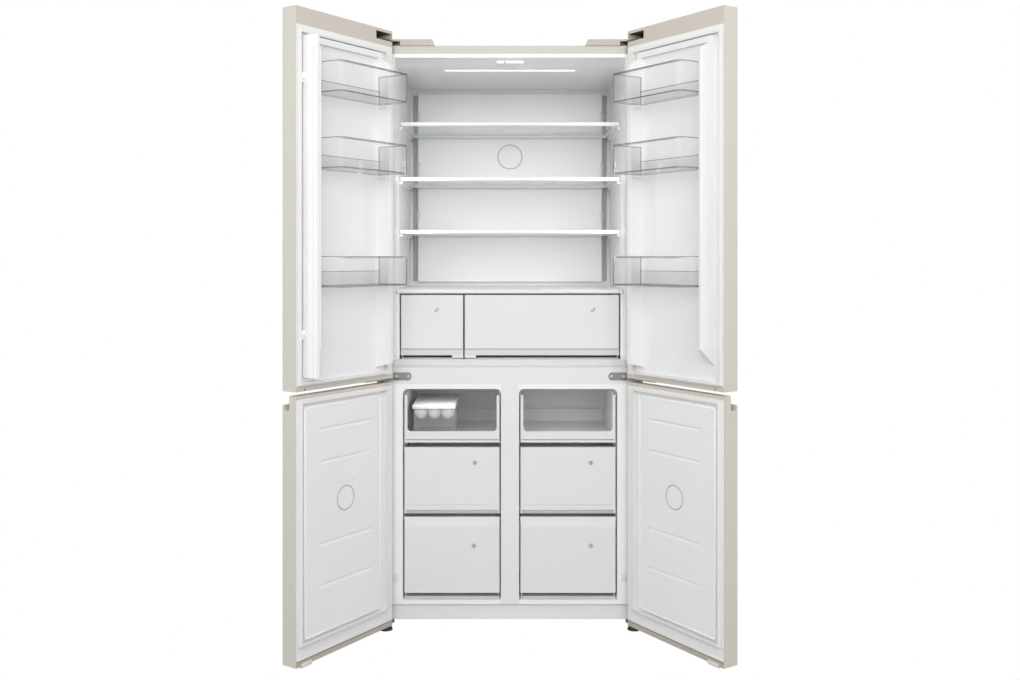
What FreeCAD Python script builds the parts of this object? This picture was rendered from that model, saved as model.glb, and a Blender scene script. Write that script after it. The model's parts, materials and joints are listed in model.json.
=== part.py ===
import FreeCAD, Part
import os

# Four-door refrigerator with all doors open.
# Millimetres. The origin is on the floor under the middle of the whole outline,
# +X to the right, +Y towards the back, +Z up. All pieces are drawn with the cabinet front at Y = 0
# and are moved to the origin when they are written.

os.makedirs("parts", exist_ok=True)
V = FreeCAD.Vector


def between(low, high, share):
    """Level at a share of the way from low to high."""
    return low + share * (high - low)


# Cabinet
CASE_WIDTH = 833.0
CASE_DEPTH = 590.0
CASE_TOP = 1845.0
CASE_BOTTOM = 45.0
SHEET = 0.8
CASE_RETURN_TOP = 25.0
CASE_RETURN_SIDE = 12.0
LINER_WALL = 1.5
FRONT_PLATE = 1.5
HALF = CASE_WIDTH / 2
FRAME_HALF = HALF - CASE_RETURN_SIDE
FRAME_TOP = CASE_TOP - CASE_RETURN_TOP

# Fridge compartment
SIDE_FOAM = 54.5
ROOF_FOAM = 37.0
BACK_FOAM = 60.0
CEILING_DROP = 19.0
CEILING_STEP = 70.0
FRIDGE_FLOOR = 858.0
SILL_DROP = 20.0
SILL_RUN = 40.0
SILL_LIP = 4.0
FRIDGE_HALF = HALF - SIDE_FOAM
FRIDGE_TOP = CASE_TOP - ROOF_FOAM
FRIDGE_CEILING = FRIDGE_TOP - CEILING_DROP
FRIDGE_SILL = FRIDGE_FLOOR - SILL_DROP
FRIDGE_BACK = CASE_DEPTH - BACK_FOAM

# Freezer compartments, either side of a divider post
FREEZER_INNER = 28.7
FREEZER_SIDE_FOAM = 80.0
FREEZER_BACK_FOAM = 90.0
BEAM_HEIGHT = 53.0
BEAM_PLATE = 6.0
KICK_HEIGHT = 49.0
FREEZER_REVEAL_TOP = 16.0
FREEZER_REVEAL_LOW = 13.5
FREEZER_CORNER = 15.0
FREEZER_OUTER = HALF - FREEZER_SIDE_FOAM
FREEZER_BACK = CASE_DEPTH - FREEZER_BACK_FOAM
FREEZER_FRAME_TOP = FRIDGE_SILL - BEAM_HEIGHT
FREEZER_FRAME_BOTTOM = CASE_BOTTOM + KICK_HEIGHT
FREEZER_TOP = FREEZER_FRAME_TOP - FREEZER_REVEAL_TOP
FREEZER_FLOOR = FREEZER_FRAME_BOTTOM + FREEZER_REVEAL_LOW

# Compressor bay at the lower back
BAY_DEPTH = 210.0
BAY_HEIGHT = 210.0
BAY_WALL = 45.0
BAY_RISE = 15.0
BASE_PLATE = 2.0
KICK_FRONT = 8.0
KICK_THICK = 3.0
KICK_GAP = 2.0
BAY_FRONT = CASE_DEPTH - BAY_DEPTH
BAY_FLOOR = CASE_BOTTOM + BAY_RISE
BAY_TOP = BAY_FLOOR + BAY_HEIGHT
STEP_BACK = BAY_FRONT - BAY_WALL
STEP_TOP = BAY_TOP + BAY_WALL

# Feet and rollers
FOOT_RADIUS = 21.0
FOOT_TAPER = 4.0
FOOT_HEIGHT = 12.0
FOOT_STEM = 6.0
FOOT_COLLAR = 11.0
STEM_CLEARANCE = 1.0
FOOT_INSET = 23.0
FOOT_BACK = 45.0
ROLLER_RADIUS = 22.0
ROLLER_WIDTH = 20.0
ROLLER_SETBACK = 45.0
ROLLER_INSET = 70.0
AXLE_RADIUS = 4.0
CHEEK = 3.0
ROLLER_BACK = CASE_DEPTH - ROLLER_SETBACK

# Running gaps
SEAT = 0.3
SHELF_CLEAR = 2.0

# Shelves, and the cover over the crispers, at shares of the fridge height
SHELF_SHARES = (0.8228, 0.6294, 0.4436)
COVER_SHARE = 0.2358
SHELF_FRONT = 140.0
SHELF_GLASS = 4.0
SHELF_TRIM = 12.0
SHELF_TRIM_DEPTH = 20.0
SHELF_NOSE = 3.0
RAIL_REACH = 9.0
RAIL_HEIGHT = 8.0
CRISPER_COVER_FRONT = 48.0
CRISPER_COVER_LIP = 11.0
SHELF_TOPS = tuple(between(FRIDGE_FLOOR, FRIDGE_CEILING, share) for share in SHELF_SHARES)
CRISPER_COVER_TOP = between(FRIDGE_FLOOR, FRIDGE_CEILING, COVER_SHARE)

# Air duct, lamp and beam guide
DUCT_SIDE = 26.0
DUCT_ROOF_GAP = 17.0
DUCT_COVER_GAP = 15.0
DUCT_THICK = 14.0
DUCT_SLOT_HEIGHT = 40.0
DUCT_SLOT_DEPTH = 8.0
DUCT_BACKING = 2.0
RING_SHARE = 0.7379
RING_RADIUS = 45.0
RING_WIDTH = 3.0
RING_DEPTH = 1.5
LAMP_SIDE = 151.0
LAMP_FRONT = 116.0
LAMP_DEPTH = 10.0
LAMP_DROP = 2.0
LAMP_NOSE = 0.8
GUIDE_HALF = 43.0
GUIDE_FRONT = 24.0
GUIDE_DEPTH = 30.0
GUIDE_DROP = 11.0
GUIDE_ROUND = 10.0
DUCT_HALF = FRIDGE_HALF - DUCT_SIDE
DUCT_TOP = FRIDGE_CEILING - DUCT_ROOF_GAP
DUCT_BOTTOM = CRISPER_COVER_TOP + DUCT_COVER_GAP
DUCT_FRONT = FRIDGE_BACK - DUCT_THICK
RING_HEIGHT = between(FRIDGE_FLOOR, FRIDGE_CEILING, RING_SHARE)
LAMP_HALF = FRIDGE_HALF - LAMP_SIDE
GUIDE_BOTTOM = FRIDGE_TOP - GUIDE_DROP

# Crispers
CRISPER_FRONT = 52.0
CRISPER_BACK_GAP = 64.0
CRISPER_RISE = 11.0
CRISPER_COVER_GAP = 15.5
CRISPER_SPLIT = -147.0
CRISPER_SPLIT_GAP = 4.0
CRISPER_SIDE_GAP = 14.0
CRISPER_WALL = 2.5
CRISPER_BODY_DROP = 30.0
CRISPER_GRIP = 21.0
CRISPER_GRIP_DEPTH = 7.0
CRISPER_TAB = 36.0
CRISPER_TAB_DEPTH = 8.0
CRISPER_TAB_GAP = 3.0
CRISPER_RAIL_REACH = 11.0
CRISPER_RAIL_HEIGHT = 22.0
CRISPER_JAMB_REACH = 10.0
CRISPER_JAMB_SETBACK = 4.0
CRISPER_JAMB_DEPTH = 10.0
CRISPER_LENGTH = DUCT_FRONT - CRISPER_BACK_GAP - CRISPER_FRONT
CRISPER_FACE_BOTTOM = FRIDGE_FLOOR + CRISPER_RISE
CRISPER_FACE_TOP = CRISPER_COVER_TOP - CRISPER_COVER_GAP

# Freezer air ducts
FREEZER_DUCT_DEPTH = 45.0
FREEZER_DUCT_GAP = 8.0
FREEZER_DUCT_THICK = 3.0
GRILLE_SLOTS = 5
GRILLE_SLOT_HEIGHT = 6.0
GRILLE_PITCH = 14.0
FREEZER_DUCT_FRONT = FREEZER_BACK - FREEZER_DUCT_DEPTH

# Freezer drawers, faces and floors at shares of the freezer height
BOTTOM_FACE_SHARES = (0.02797, 0.38776)
MIDDLE_FACE_SHARES = (0.40438, 0.72033)
TRAY_SHARES = (0.74301, 0.96825)
DRAWER_FRONT = 12.0
DRAWER_GAP = 3.5
DRAWER_WALL = 2.5
DRAWER_FACE = 14.0
DRAWER_BACK_GAP = 13.0
DRAWER_SINK = 17.0
DRAWER_LIP = 12.0
DRAWER_LIP_DEPTH = 5.0
DRAWER_LINE = 27.0
DRAWER_LINE_WIDTH = 1.6
DRAWER_BAND = 31.0
DRAWER_BAND_DEPTH = 4.0
TRAY_LIP = 35.0
TRAY_LIP_LINE = 9.0
TRAY_POST = 10.0
TRAY_CORNER = 12.0
TRAY_BACK_DROP = 105.0
RUNNER_REACH = 12.0
RUNNER_HEIGHT = 6.0
FACE_CORNER = 5.0
BOTTOM_FACE = tuple(between(FREEZER_FLOOR, FREEZER_TOP, share) for share in BOTTOM_FACE_SHARES)
MIDDLE_FACE = tuple(between(FREEZER_FLOOR, FREEZER_TOP, share) for share in MIDDLE_FACE_SHARES)
TRAY_FLOOR, TRAY_TOP = [between(FREEZER_FLOOR, FREEZER_TOP, share) for share in TRAY_SHARES]
DRAWER_LENGTH = FREEZER_DUCT_FRONT - DRAWER_BACK_GAP - DRAWER_FRONT
LOW_DRAWER_LENGTH = STEP_BACK - DRAWER_BACK_GAP - DRAWER_FRONT

# Evaporator and its fan, low behind the middle drawer
EVAPORATOR_FINS = 12
EVAPORATOR_FIN = 1.0
EVAPORATOR_TUBE = 5.0
FAN_RADIUS = 50.0
FAN_ROOM = 20.0
FAN_BLADES = 5
FAN_THICK = 12.0
FAN_DROP = 44.0
FAN_SHAFT = 3.0
FAN_SETBACK = 1.0
FAN_HUB = 12.5
FAN_BLADE_WIDTH = 17.0
FAN_PITCH = 25.0
FAN_HEIGHT = MIDDLE_FACE[1] - FAN_DROP
EVAPORATOR_TOP = FAN_HEIGHT - FAN_RADIUS - FAN_ROOM

# Compressor, condenser and rear cover
COMPRESSOR_X = -180.0
COMPRESSOR_SETBACK = 105.0
COMPRESSOR_RADIUS = 70.0
COMPRESSOR_BODY = 95.0
COMPRESSOR_FOOT = 12.0
COMPRESSOR_FOOT_REACH = 52.0
DOME_RISE = 45.0
CONDENSER_X = (60.0, 330.0)
CONDENSER_HALF = 35.0
CONDENSER_HEIGHT = 148.0
CONDENSER_FINS = 14
TUBE_SHARES = (0.3, 0.7)
LOUVRES = 9
LOUVRE_PITCH = 16.0
LOUVRE_WIDTH = 240.0
LOUVRE_HEIGHT = 6.0
COMPRESSOR_Y = CASE_DEPTH - COMPRESSOR_SETBACK

# Doors, measured in the closed door: s from the hinge axis to the free edge,
# d from the hinge axis towards the back
PIVOT_INSET = 20.0
PIVOT_FRONT = 36.0
DOOR_GAP = 12.0
DOOR_THICK = 55.0
DOOR_SPLIT = 5.0
DOOR_OPEN = 123.5
DOOR_RISE = 38.0
DOOR_SILL_LAP = 31.0
DOOR_MEETING = 11.6
DOOR_LOW_LAP = 5.5
SKIN = 0.8
LINER_PLATE = 2.0
UPPER_CAP_TOP = 50.0
UPPER_CAP_BOTTOM = 12.5
LOWER_CAP_TOP = 10.5
LOWER_CAP_BOTTOM = 23.6
DOOR_CORNER = 4.0
PIVOT_X = -HALF + PIVOT_INSET
PIVOT_Y = -PIVOT_FRONT
DOOR_WIDTH = (CASE_WIDTH - DOOR_SPLIT) / 2
S_HINGE = -PIVOT_INSET
S_FREE = DOOR_WIDTH - PIVOT_INSET
D_BACK = PIVOT_FRONT - DOOR_GAP
D_FRONT = D_BACK - DOOR_THICK
UPPER_TOP = CASE_TOP + DOOR_RISE
UPPER_BOTTOM = FRIDGE_SILL - DOOR_SILL_LAP
LOWER_TOP = UPPER_BOTTOM - DOOR_MEETING
LOWER_BOTTOM = CASE_BOTTOM - DOOR_LOW_LAP

# Grip along the top of the lower doors
GRIP_DROP = 27.0
GRIP_LIP = 10.0
GRIP_GROOVE = 18.0
GRIP_FLOOR = 6.0
GRIP_DEPTH = 15.0

# Gaskets
GASKET_WIDTH = 9.0
GASKET_THICK = 11.5
GASKET_ROUND = 2.5
GASKET_HINGE = 10.0
GASKET_FREE = 2.0
LOWER_GASKET_FREE = 8.0
UPPER_SEAL_INSET = (17.0, 27.0)
LOWER_SEAL_INSET = (2.0, 3.0)
UPPER_SEAL = (UPPER_BOTTOM + UPPER_SEAL_INSET[0], CASE_TOP - UPPER_SEAL_INSET[1])
LOWER_SEAL = (FREEZER_FRAME_BOTTOM + LOWER_SEAL_INSET[0], FREEZER_FRAME_TOP - LOWER_SEAL_INSET[1])

# Upper door liners: two dykes, a top bar and the bin lugs
DYKE_START = 38.0
DYKE_HINGE = 19.0
DYKE_FREE_BACK = 47.0
DYKE_FREE_LEFT = 5.5
DYKE_FREE_RIGHT = 12.0
DYKE_RISE = 52.0
DYKE_CREST = 2.0
DYKE_ROOF_GAP = 51.0
DYKE_TOP_SLANT = 27.0
DYKE_FREE_LIFT = 19.0
DYKE_FREE_SLANT = 47.0
DYKE_HINGE_DROP = 10.0
DYKE_HINGE_SLANT = 12.0
FRAME_BAR = 18.0
FRAME_RISE = 10.0
FRAME_TOP_GAP = 39.0
LUG_LENGTH = 30.0
LUG_HEIGHT = 8.0
LUG_REACH = 6.0
DYKE_TOP = CASE_TOP - DYKE_ROOF_GAP
BIN_START = DYKE_START + DYKE_HINGE
BIN_END = S_FREE - DYKE_FREE_BACK

# Door bins
BIN_SHARES = (0.8421, 0.6144, 0.2589)
BIN_HEIGHT = 86.0
BIN_DEPTH = 110.0
BIN_WALL = 2.5
BIN_CORNER_HINGE = 5.0
BIN_CORNER_FREE = 22.0
BIN_RIM = 1.2
BIN_RIM_HEIGHT = 4.0
BIN_BACK_GAP = 13.0
BIN_FLOORS = tuple(between(FRIDGE_FLOOR, FRIDGE_CEILING, share) for share in BIN_SHARES)

# Folding beam on the upper left door
FLIP_WIDTH = 51.0
FLIP_THICK = 17.0
FLIP_SILL_GAP = 8.0
FLIP_ROOF_GAP = 5.0
FLIP_EDGE = 23.0
FLIP_GAP = 2.0
FLIP_SEAL_GAP = 1.0
FLIP_SIDE_GAP = 1.5
FLIP_PIN = 2.5
FLIP_EAR = 4.5
FLIP_EAR_HEIGHT = 14.0
FLIP_EAR_INSET = 120.0
FLIP_ROUND = 3.0
FLIP_GROOVE = 1.2
FLIP_GROOVES = (0.3, 0.82)
FLIP_BOTTOM = FRIDGE_SILL + FLIP_SILL_GAP
FLIP_TOP = FRIDGE_TOP - FLIP_ROOF_GAP

# Hinges
PIN_RADIUS = 5.0
PIN_CLEARANCE = 0.05
PIN_END_ROOM = 1.0
HINGE_PLATE = 4.0
HINGE_JOGGLE = 8.0
HINGE_SETBACK = 4.5
TOP_ARM_HALF = 11.0
TOP_ROOT_INSET = 6.0
MID_PLATE = 3.0
MID_PLATE_LIFT = 1.6
MID_PLATE_HEIGHT = 24.0
MID_PLATE_LENGTH = 56.0
MID_PLATE_SIDE = 51.5
MID_CORNER = 10.8
MID_PIN_REACH = 9.0
LOW_PIN_REACH = 18.5
LOW_PLATE_GAP = 2.5
LOW_FOOT = 60.0
MID_PLATE_OUTER = HALF - MID_PLATE_SIDE
MID_PLATE_INNER = MID_PLATE_OUTER - MID_PLATE_LENGTH
MID_PLATE_BOTTOM = LOWER_TOP + MID_PLATE_LIFT
MID_PLATE_TOP = MID_PLATE_BOTTOM + MID_PLATE_HEIGHT
MID_PIN_TOP = UPPER_BOTTOM + MID_PIN_REACH
MID_PIN_LOW = LOWER_TOP - MID_PIN_REACH
LOW_PIN_TOP = LOWER_BOTTOM + LOW_PIN_REACH
LOW_PLATE_TOP = LOWER_BOTTOM - LOW_PLATE_GAP

# Covers over the top hinges
COVER_SIDE = 22.5
COVER_LENGTH = 158.0
COVER_MOUTH = 49.0
COVER_HEIGHT = 20.0
COVER_DEPTH = 100.0
COVER_WALL = 1.5
COVER_SLANT = 8.0
COVER_FRONT = -3.0
COVER_ROOM = 2.0
COVER_OUTER = HALF - COVER_SIDE
COVER_INNER = COVER_OUTER - COVER_LENGTH

# Hinge recess in the upper door cap
NOTCH_END = 55.0
NOTCH_SKIN = 3.0
NOTCH_ROOF = 9.0
NOTCH_LIFT = 5.0
TOP_PIN_REACH = 14.0
CURTAIN_ROOM = 3.0
NOTCH_FLOOR = CASE_TOP + NOTCH_LIFT
TOP_PIN_END = NOTCH_FLOOR - TOP_PIN_REACH

# Lower door liners: a raised field with cross grooves and a plain ring in a square
FIELD_HINGE = 42.0
FIELD_FREE = 20.0
FIELD_LOW = 14.0
FIELD_TOP = 17.0
FIELD_RISE = 10.0
FIELD_SLOPE = 9.0
FIELD_CORNER = 16.0
RIB_SHARES = (0.8885, 0.7466, 0.3893, 0.2092)
RIB_HINGE = 48.0
RIB_FREE = 61.0
RIB_WIDTH = 10.0
RIB_DEPTH = 4.0
BADGE_SHARE = 0.5649
BADGE_RADIUS = 37.0
BADGE_LINE = 3.5
BADGE_DEPTH = 2.5
BADGE_SQUARE = 49.0
BADGE_SINK = 1.0
FIELD = (FIELD_HINGE, S_FREE - FIELD_FREE, LOWER_SEAL[0] + FIELD_LOW, LOWER_SEAL[1] - FIELD_TOP)
RIB_LEVELS = tuple(between(FIELD[2], FIELD[3], share) for share in RIB_SHARES)
RIB_SPAN = (FIELD[0] + RIB_HINGE, FIELD[1] - RIB_FREE)
BADGE_LEVEL = between(FIELD[2], FIELD[3], BADGE_SHARE)


def box(x0, x1, y0, y1, z0, z1):
    return Part.makeBox(x1 - x0, y1 - y0, z1 - z0, V(x0, y0, z0))


def prism(points, direction):
    wire = Part.makePolygon([V(*p) for p in points] + [V(*points[0])])
    return Part.Face(wire).extrude(V(*direction))


def cylinder_z(x, y, z0, z1, radius):
    return Part.makeCylinder(radius, z1 - z0, V(x, y, z0))


def cylinder_x(y, z, x0, x1, radius):
    return Part.makeCylinder(radius, x1 - x0, V(x0, y, z), V(1, 0, 0))


def fuse(shapes):
    first = shapes[0]
    if len(shapes) == 1:
        return first
    return first.fuse(list(shapes[1:])).removeSplitter()


def cut(shape, tools):
    return shape.cut(list(tools)) if tools else shape


def mirrored(shape):
    return shape.mirror(V(0, 0, 0), V(1, 0, 0))


def upright_edges(shape, test):
    found = []
    for edge in shape.Edges:
        a, b = edge.Vertexes[0].Point, edge.Vertexes[-1].Point
        upright = abs(a.x - b.x) < 1e-6 and abs(a.y - b.y) < 1e-6
        if upright and len(edge.Vertexes) == 2 and test(a.x, a.y):
            found.append(edge)
    return found


def rounded(shape, radius, test):
    edges = upright_edges(shape, test)
    return shape.makeFillet(radius, edges) if edges else shape


NODES = {}


def keep(name, *solids):
    NODES.setdefault(name, []).extend(solids)


def fridge_profile(grow):
    """Side outline of the fridge space, grown outwards by a wall."""
    return [
        (0, FRIDGE_SILL - grow),
        (SILL_RUN / 2, FRIDGE_SILL + SILL_LIP - grow),
        (SILL_RUN, FRIDGE_FLOOR - grow),
        (FRIDGE_BACK + grow, FRIDGE_FLOOR - grow),
        (FRIDGE_BACK + grow, FRIDGE_CEILING + grow),
        (CEILING_STEP, FRIDGE_CEILING + grow),
        (0, FRIDGE_TOP + grow),
    ]


def fridge_space(grow):
    half = FRIDGE_HALF + grow
    points = [(-half, y, z) for y, z in fridge_profile(grow)]
    return prism(points, (2 * half, 0, 0))


def freezer_space(grow):
    """Left freezer space with the step over the compressor bay."""
    outline = [
        (0, FREEZER_FLOOR - grow),
        (STEP_BACK + grow, FREEZER_FLOOR - grow),
        (STEP_BACK + grow, STEP_TOP - grow),
        (FREEZER_BACK + grow, STEP_TOP - grow),
        (FREEZER_BACK + grow, FREEZER_TOP + grow),
        (0, FREEZER_TOP + grow),
    ]
    x0 = -FREEZER_OUTER - grow
    width = FREEZER_OUTER - FREEZER_INNER + 2 * grow
    space = prism([(x0, y, z) for y, z in outline], (width, 0, 0))
    top = FREEZER_TOP + grow
    long_edges = [e for e in space.Edges
                  if abs(e.CenterOfMass.z - top) < 1e-6
                  and abs(e.CenterOfMass.x - x0 - width / 2) > width / 4]
    return space.makeFillet(FREEZER_CORNER + grow, long_edges)


def bay_space():
    return box(-HALF, HALF, BAY_FRONT, CASE_DEPTH, CASE_BOTTOM, BAY_TOP)


def build_case():
    """Wrapped sheet with folded front returns, and the flat back."""
    outer = box(-HALF, HALF, 0, CASE_DEPTH, CASE_BOTTOM, CASE_TOP)
    inner = box(-HALF + SHEET, HALF - SHEET, SHEET, CASE_DEPTH, CASE_BOTTOM, CASE_TOP - SHEET)
    window = box(-FRAME_HALF, FRAME_HALF, 0, SHEET, CASE_BOTTOM, FRAME_TOP)
    wrapper = cut(outer, [inner, window])
    back = box(-HALF + SHEET, HALF - SHEET, CASE_DEPTH - SHEET, CASE_DEPTH, BAY_TOP, CASE_TOP - SHEET)
    keep("outer_case", wrapper, back)


def fridge_rails():
    """Moulded rails under each shelf and the cover, and rails and jambs beside the crispers."""
    rails = []
    undersides = [(top - SHELF_TRIM, SHELF_FRONT) for top in SHELF_TOPS]
    undersides.append((CRISPER_COVER_TOP - CRISPER_COVER_LIP, CRISPER_COVER_FRONT))
    for underside, front in undersides:
        for side in (-1, 1):
            x0 = side * (FRIDGE_HALF - RAIL_REACH)
            x1 = side * FRIDGE_HALF
            low = underside - SEAT - RAIL_HEIGHT
            start = front + SHELF_TRIM_DEPTH
            rails.append(box(min(x0, x1), max(x0, x1), start, FRIDGE_BACK, low, low + RAIL_HEIGHT))
    jamb_front = CRISPER_FRONT + CRISPER_JAMB_SETBACK
    jamb_top = CRISPER_COVER_TOP - CRISPER_COVER_LIP - SEAT
    for side in (-1, 1):
        x0, x1 = sorted((side * (FRIDGE_HALF - CRISPER_RAIL_REACH), side * FRIDGE_HALF))
        rails.append(box(x0, x1, CRISPER_FRONT, CRISPER_FRONT + CRISPER_LENGTH, CRISPER_FACE_BOTTOM,
                         CRISPER_FACE_BOTTOM + CRISPER_RAIL_HEIGHT))
        x0, x1 = sorted((side * (FRIDGE_HALF - CRISPER_JAMB_REACH), side * FRIDGE_HALF))
        rails.append(box(x0, x1, jamb_front, jamb_front + CRISPER_JAMB_DEPTH, FRIDGE_FLOOR, jamb_top))
    return rails


def build_fridge_liner():
    plate = box(-FRAME_HALF, FRAME_HALF, 0, FRONT_PLATE, FRIDGE_SILL - LINER_WALL, FRAME_TOP)
    shell = fuse([fridge_space(LINER_WALL), plate])
    shell = cut(shell, [fridge_space(0)])
    keep("fridge_liner", fuse([shell] + fridge_rails()))


def drawer_runners():
    """Runner ledges in the left freezer space, under the tray and the middle drawer."""
    ledges = []
    for floor in (TRAY_FLOOR, MIDDLE_FACE[0] + DRAWER_SINK):
        top = floor - SEAT
        for x0, x1 in ((-FREEZER_OUTER, -FREEZER_OUTER + RUNNER_REACH),
                       (-FREEZER_INNER - RUNNER_REACH, -FREEZER_INNER)):
            ledges.append(box(x0, x1, DRAWER_FRONT + 2 * DRAWER_FACE, FREEZER_DUCT_FRONT,
                              top - RUNNER_HEIGHT, top))
    return ledges


def build_freezer_liners():
    plate = box(-FRAME_HALF, -FREEZER_INNER + LINER_WALL, 0, FRONT_PLATE,
                FREEZER_FRAME_BOTTOM, FREEZER_FRAME_TOP)
    shell = cut(fuse([freezer_space(LINER_WALL), plate]), [freezer_space(0)])
    left = fuse([shell] + drawer_runners())
    keep("freezer_liners", left, mirrored(left))


def front_frame_solids():
    """Cross beam between the spaces and the upright on the divider."""
    beam = box(-FRAME_HALF, FRAME_HALF, 0, BEAM_PLATE, FREEZER_FRAME_TOP, FRIDGE_SILL - LINER_WALL)
    half = FREEZER_INNER - LINER_WALL
    post = box(-half, half, 0, BEAM_PLATE, FREEZER_FRAME_BOTTOM, FREEZER_FRAME_TOP)
    return beam, post


def build_foam():
    block = box(-HALF + SHEET, HALF - SHEET, FRONT_PLATE, CASE_DEPTH - SHEET,
                FREEZER_FRAME_BOTTOM - LINER_WALL, CASE_TOP - SHEET)
    sole = box(-HALF + SHEET, HALF - SHEET, KICK_FRONT + KICK_THICK, BAY_FRONT,
               BAY_FLOOR + BASE_PLATE, FREEZER_FRAME_BOTTOM - LINER_WALL)
    freezer = freezer_space(LINER_WALL)
    beam, post = front_frame_solids()
    keep("cabinet_foam", cut(fuse([block, sole]), [
        fridge_space(LINER_WALL), freezer, mirrored(freezer), bay_space(), beam, post]))
    keep("front_frame", beam, post)


def build_duct_cover():
    """Air duct panel on the fridge back wall with side outlets and a plain ring."""
    back = FRIDGE_BACK
    front = DUCT_FRONT
    panel = box(-DUCT_HALF, DUCT_HALF, front, back, DUCT_BOTTOM, DUCT_TOP)
    panel = rounded_front(panel, front, DUCT_THICK / 2)
    tools = []
    for top in SHELF_TOPS:
        for side in (-1, 1):
            x0, x1 = sorted((side * (DUCT_HALF - DUCT_SLOT_DEPTH), side * DUCT_HALF))
            z0 = top + DUCT_SLOT_HEIGHT
            tools.append(box(x0, x1, front, back - DUCT_BACKING, z0, z0 + DUCT_SLOT_HEIGHT))
    ring_out = Part.makeCylinder(RING_RADIUS, RING_DEPTH, V(0, front, RING_HEIGHT), V(0, 1, 0))
    ring_in = Part.makeCylinder(RING_RADIUS - RING_WIDTH, RING_DEPTH, V(0, front, RING_HEIGHT), V(0, 1, 0))
    tools.append(ring_out.cut(ring_in))
    keep("air_duct_covers", cut(panel, tools))


def rounded_front(panel, front, radius):
    """Round the upright edges on the front face of a panel."""
    return rounded(panel, radius, lambda x, y: abs(y - front) < 1e-6)


def build_lamp_and_guide():
    ceiling = FRIDGE_CEILING
    lamp = box(-LAMP_HALF, LAMP_HALF, LAMP_FRONT, LAMP_FRONT + LAMP_DEPTH, ceiling - LAMP_DROP, ceiling)
    low = [e for e in lamp.Edges if abs(e.CenterOfMass.z - ceiling + LAMP_DROP) < 1e-6]
    keep("led_lamp", lamp.makeFillet(LAMP_NOSE, low))
    block = box(-GUIDE_HALF, GUIDE_HALF, GUIDE_FRONT, GUIDE_FRONT + GUIDE_DEPTH, GUIDE_BOTTOM, FRIDGE_TOP)
    block = rounded(block, GUIDE_ROUND, lambda x, y: True)
    block = block.common(fridge_space(0))
    keep("fridge_liner", block)


def build_shelves():
    """Glass plates in white frames, each on its pair of rails."""
    half = FRIDGE_HALF - SHELF_CLEAR
    back = DUCT_FRONT - SHELF_CLEAR
    for name, top in zip(("top", "middle", "bottom"), SHELF_TOPS):
        frame = box(-half, half, SHELF_FRONT, back, top - SHELF_TRIM, top)
        inner = half - SHELF_TRIM_DEPTH
        hole = box(-inner, inner, SHELF_FRONT + SHELF_TRIM_DEPTH, back - SHELF_TRIM_DEPTH,
                   top - SHELF_TRIM, top)
        seat = half - SHELF_TRIM_DEPTH / 2
        glass = box(-seat, seat, SHELF_FRONT + SHELF_TRIM_DEPTH / 2, back - SHELF_TRIM_DEPTH / 2,
                    top - SHELF_GLASS, top)
        frame = rounded_front(frame, SHELF_FRONT, SHELF_TRIM_DEPTH / 3)
        nose = [e for e in frame.Edges if abs(e.CenterOfMass.y - SHELF_FRONT) < 1e-6
                and abs(e.CenterOfMass.x) < 1e-6]
        frame = frame.makeFillet(SHELF_NOSE, nose)
        keep("shelf_%s_frame" % name, cut(frame, [hole, glass]))
        keep("shelf_%s_glass" % name, glass)


def build_crisper_cover():
    half = FRIDGE_HALF - SHELF_CLEAR
    back = DUCT_FRONT - SHELF_CLEAR
    top = CRISPER_COVER_TOP
    plate = box(-half, half, CRISPER_COVER_FRONT, back, top - SHELF_GLASS, top)
    lip = box(-half, half, CRISPER_COVER_FRONT, CRISPER_COVER_FRONT + SHELF_TRIM_DEPTH,
              top - CRISPER_COVER_LIP, top)
    sides = [box(x, x + SHELF_TRIM_DEPTH, CRISPER_COVER_FRONT, back, top - CRISPER_COVER_LIP, top)
             for x in (-half, half - SHELF_TRIM_DEPTH)]
    cover = fuse([plate, lip] + sides)
    nose = [e for e in cover.Edges if abs(e.CenterOfMass.y - CRISPER_COVER_FRONT) < 1e-6
            and abs(e.CenterOfMass.x) < 1e-6]
    keep("crisper_cover", cover.makeFillet(SHELF_NOSE, nose))


def crisper(x0, x1, tab_x0):
    """Open-topped drawer with a tall face, a pull along its lower edge and a guide tab."""
    front = CRISPER_FRONT
    floor = FRIDGE_FLOOR + SEAT
    face = box(x0, x1, front, front + DRAWER_FACE, CRISPER_FACE_BOTTOM, CRISPER_FACE_TOP)
    face = rounded_front(face, front, FACE_CORNER)
    grip = prism([(x0, front, CRISPER_FACE_BOTTOM),
                  (x0, front + CRISPER_GRIP_DEPTH, CRISPER_FACE_BOTTOM),
                  (x0, front, CRISPER_FACE_BOTTOM + CRISPER_GRIP)], (x1 - x0, 0, 0))
    top = CRISPER_FACE_TOP - CRISPER_BODY_DROP
    start = front + DRAWER_FACE
    wall = CRISPER_WALL
    body = box(x0 + wall, x1 - wall, start, front + CRISPER_LENGTH, floor, top)
    hollow = box(x0 + 2 * wall, x1 - 2 * wall, start, front + CRISPER_LENGTH - wall, floor + wall, top)
    tab = box(tab_x0, tab_x0 + CRISPER_TAB, start - CRISPER_TAB_DEPTH, start, FRIDGE_FLOOR + CRISPER_TAB_GAP,
              CRISPER_FACE_BOTTOM)
    return fuse([cut(face, [grip]), cut(body, [hollow]), tab])


def build_crispers():
    edge = FRIDGE_HALF - CRISPER_SIDE_GAP
    half_gap = CRISPER_SPLIT_GAP / 2
    left_end = CRISPER_SPLIT - half_gap
    right_start = CRISPER_SPLIT + half_gap
    keep("crisper_left", crisper(-edge, left_end, left_end - CRISPER_TAB))
    keep("crisper_right", crisper(right_start, edge, right_start))


def face_line(x0, x1, level):
    """Cross groove in a drawer face."""
    front = DRAWER_FRONT
    return box(x0, x1, front, front + DRAWER_LINE_WIDTH, level, level + DRAWER_LINE_WIDTH)


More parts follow.
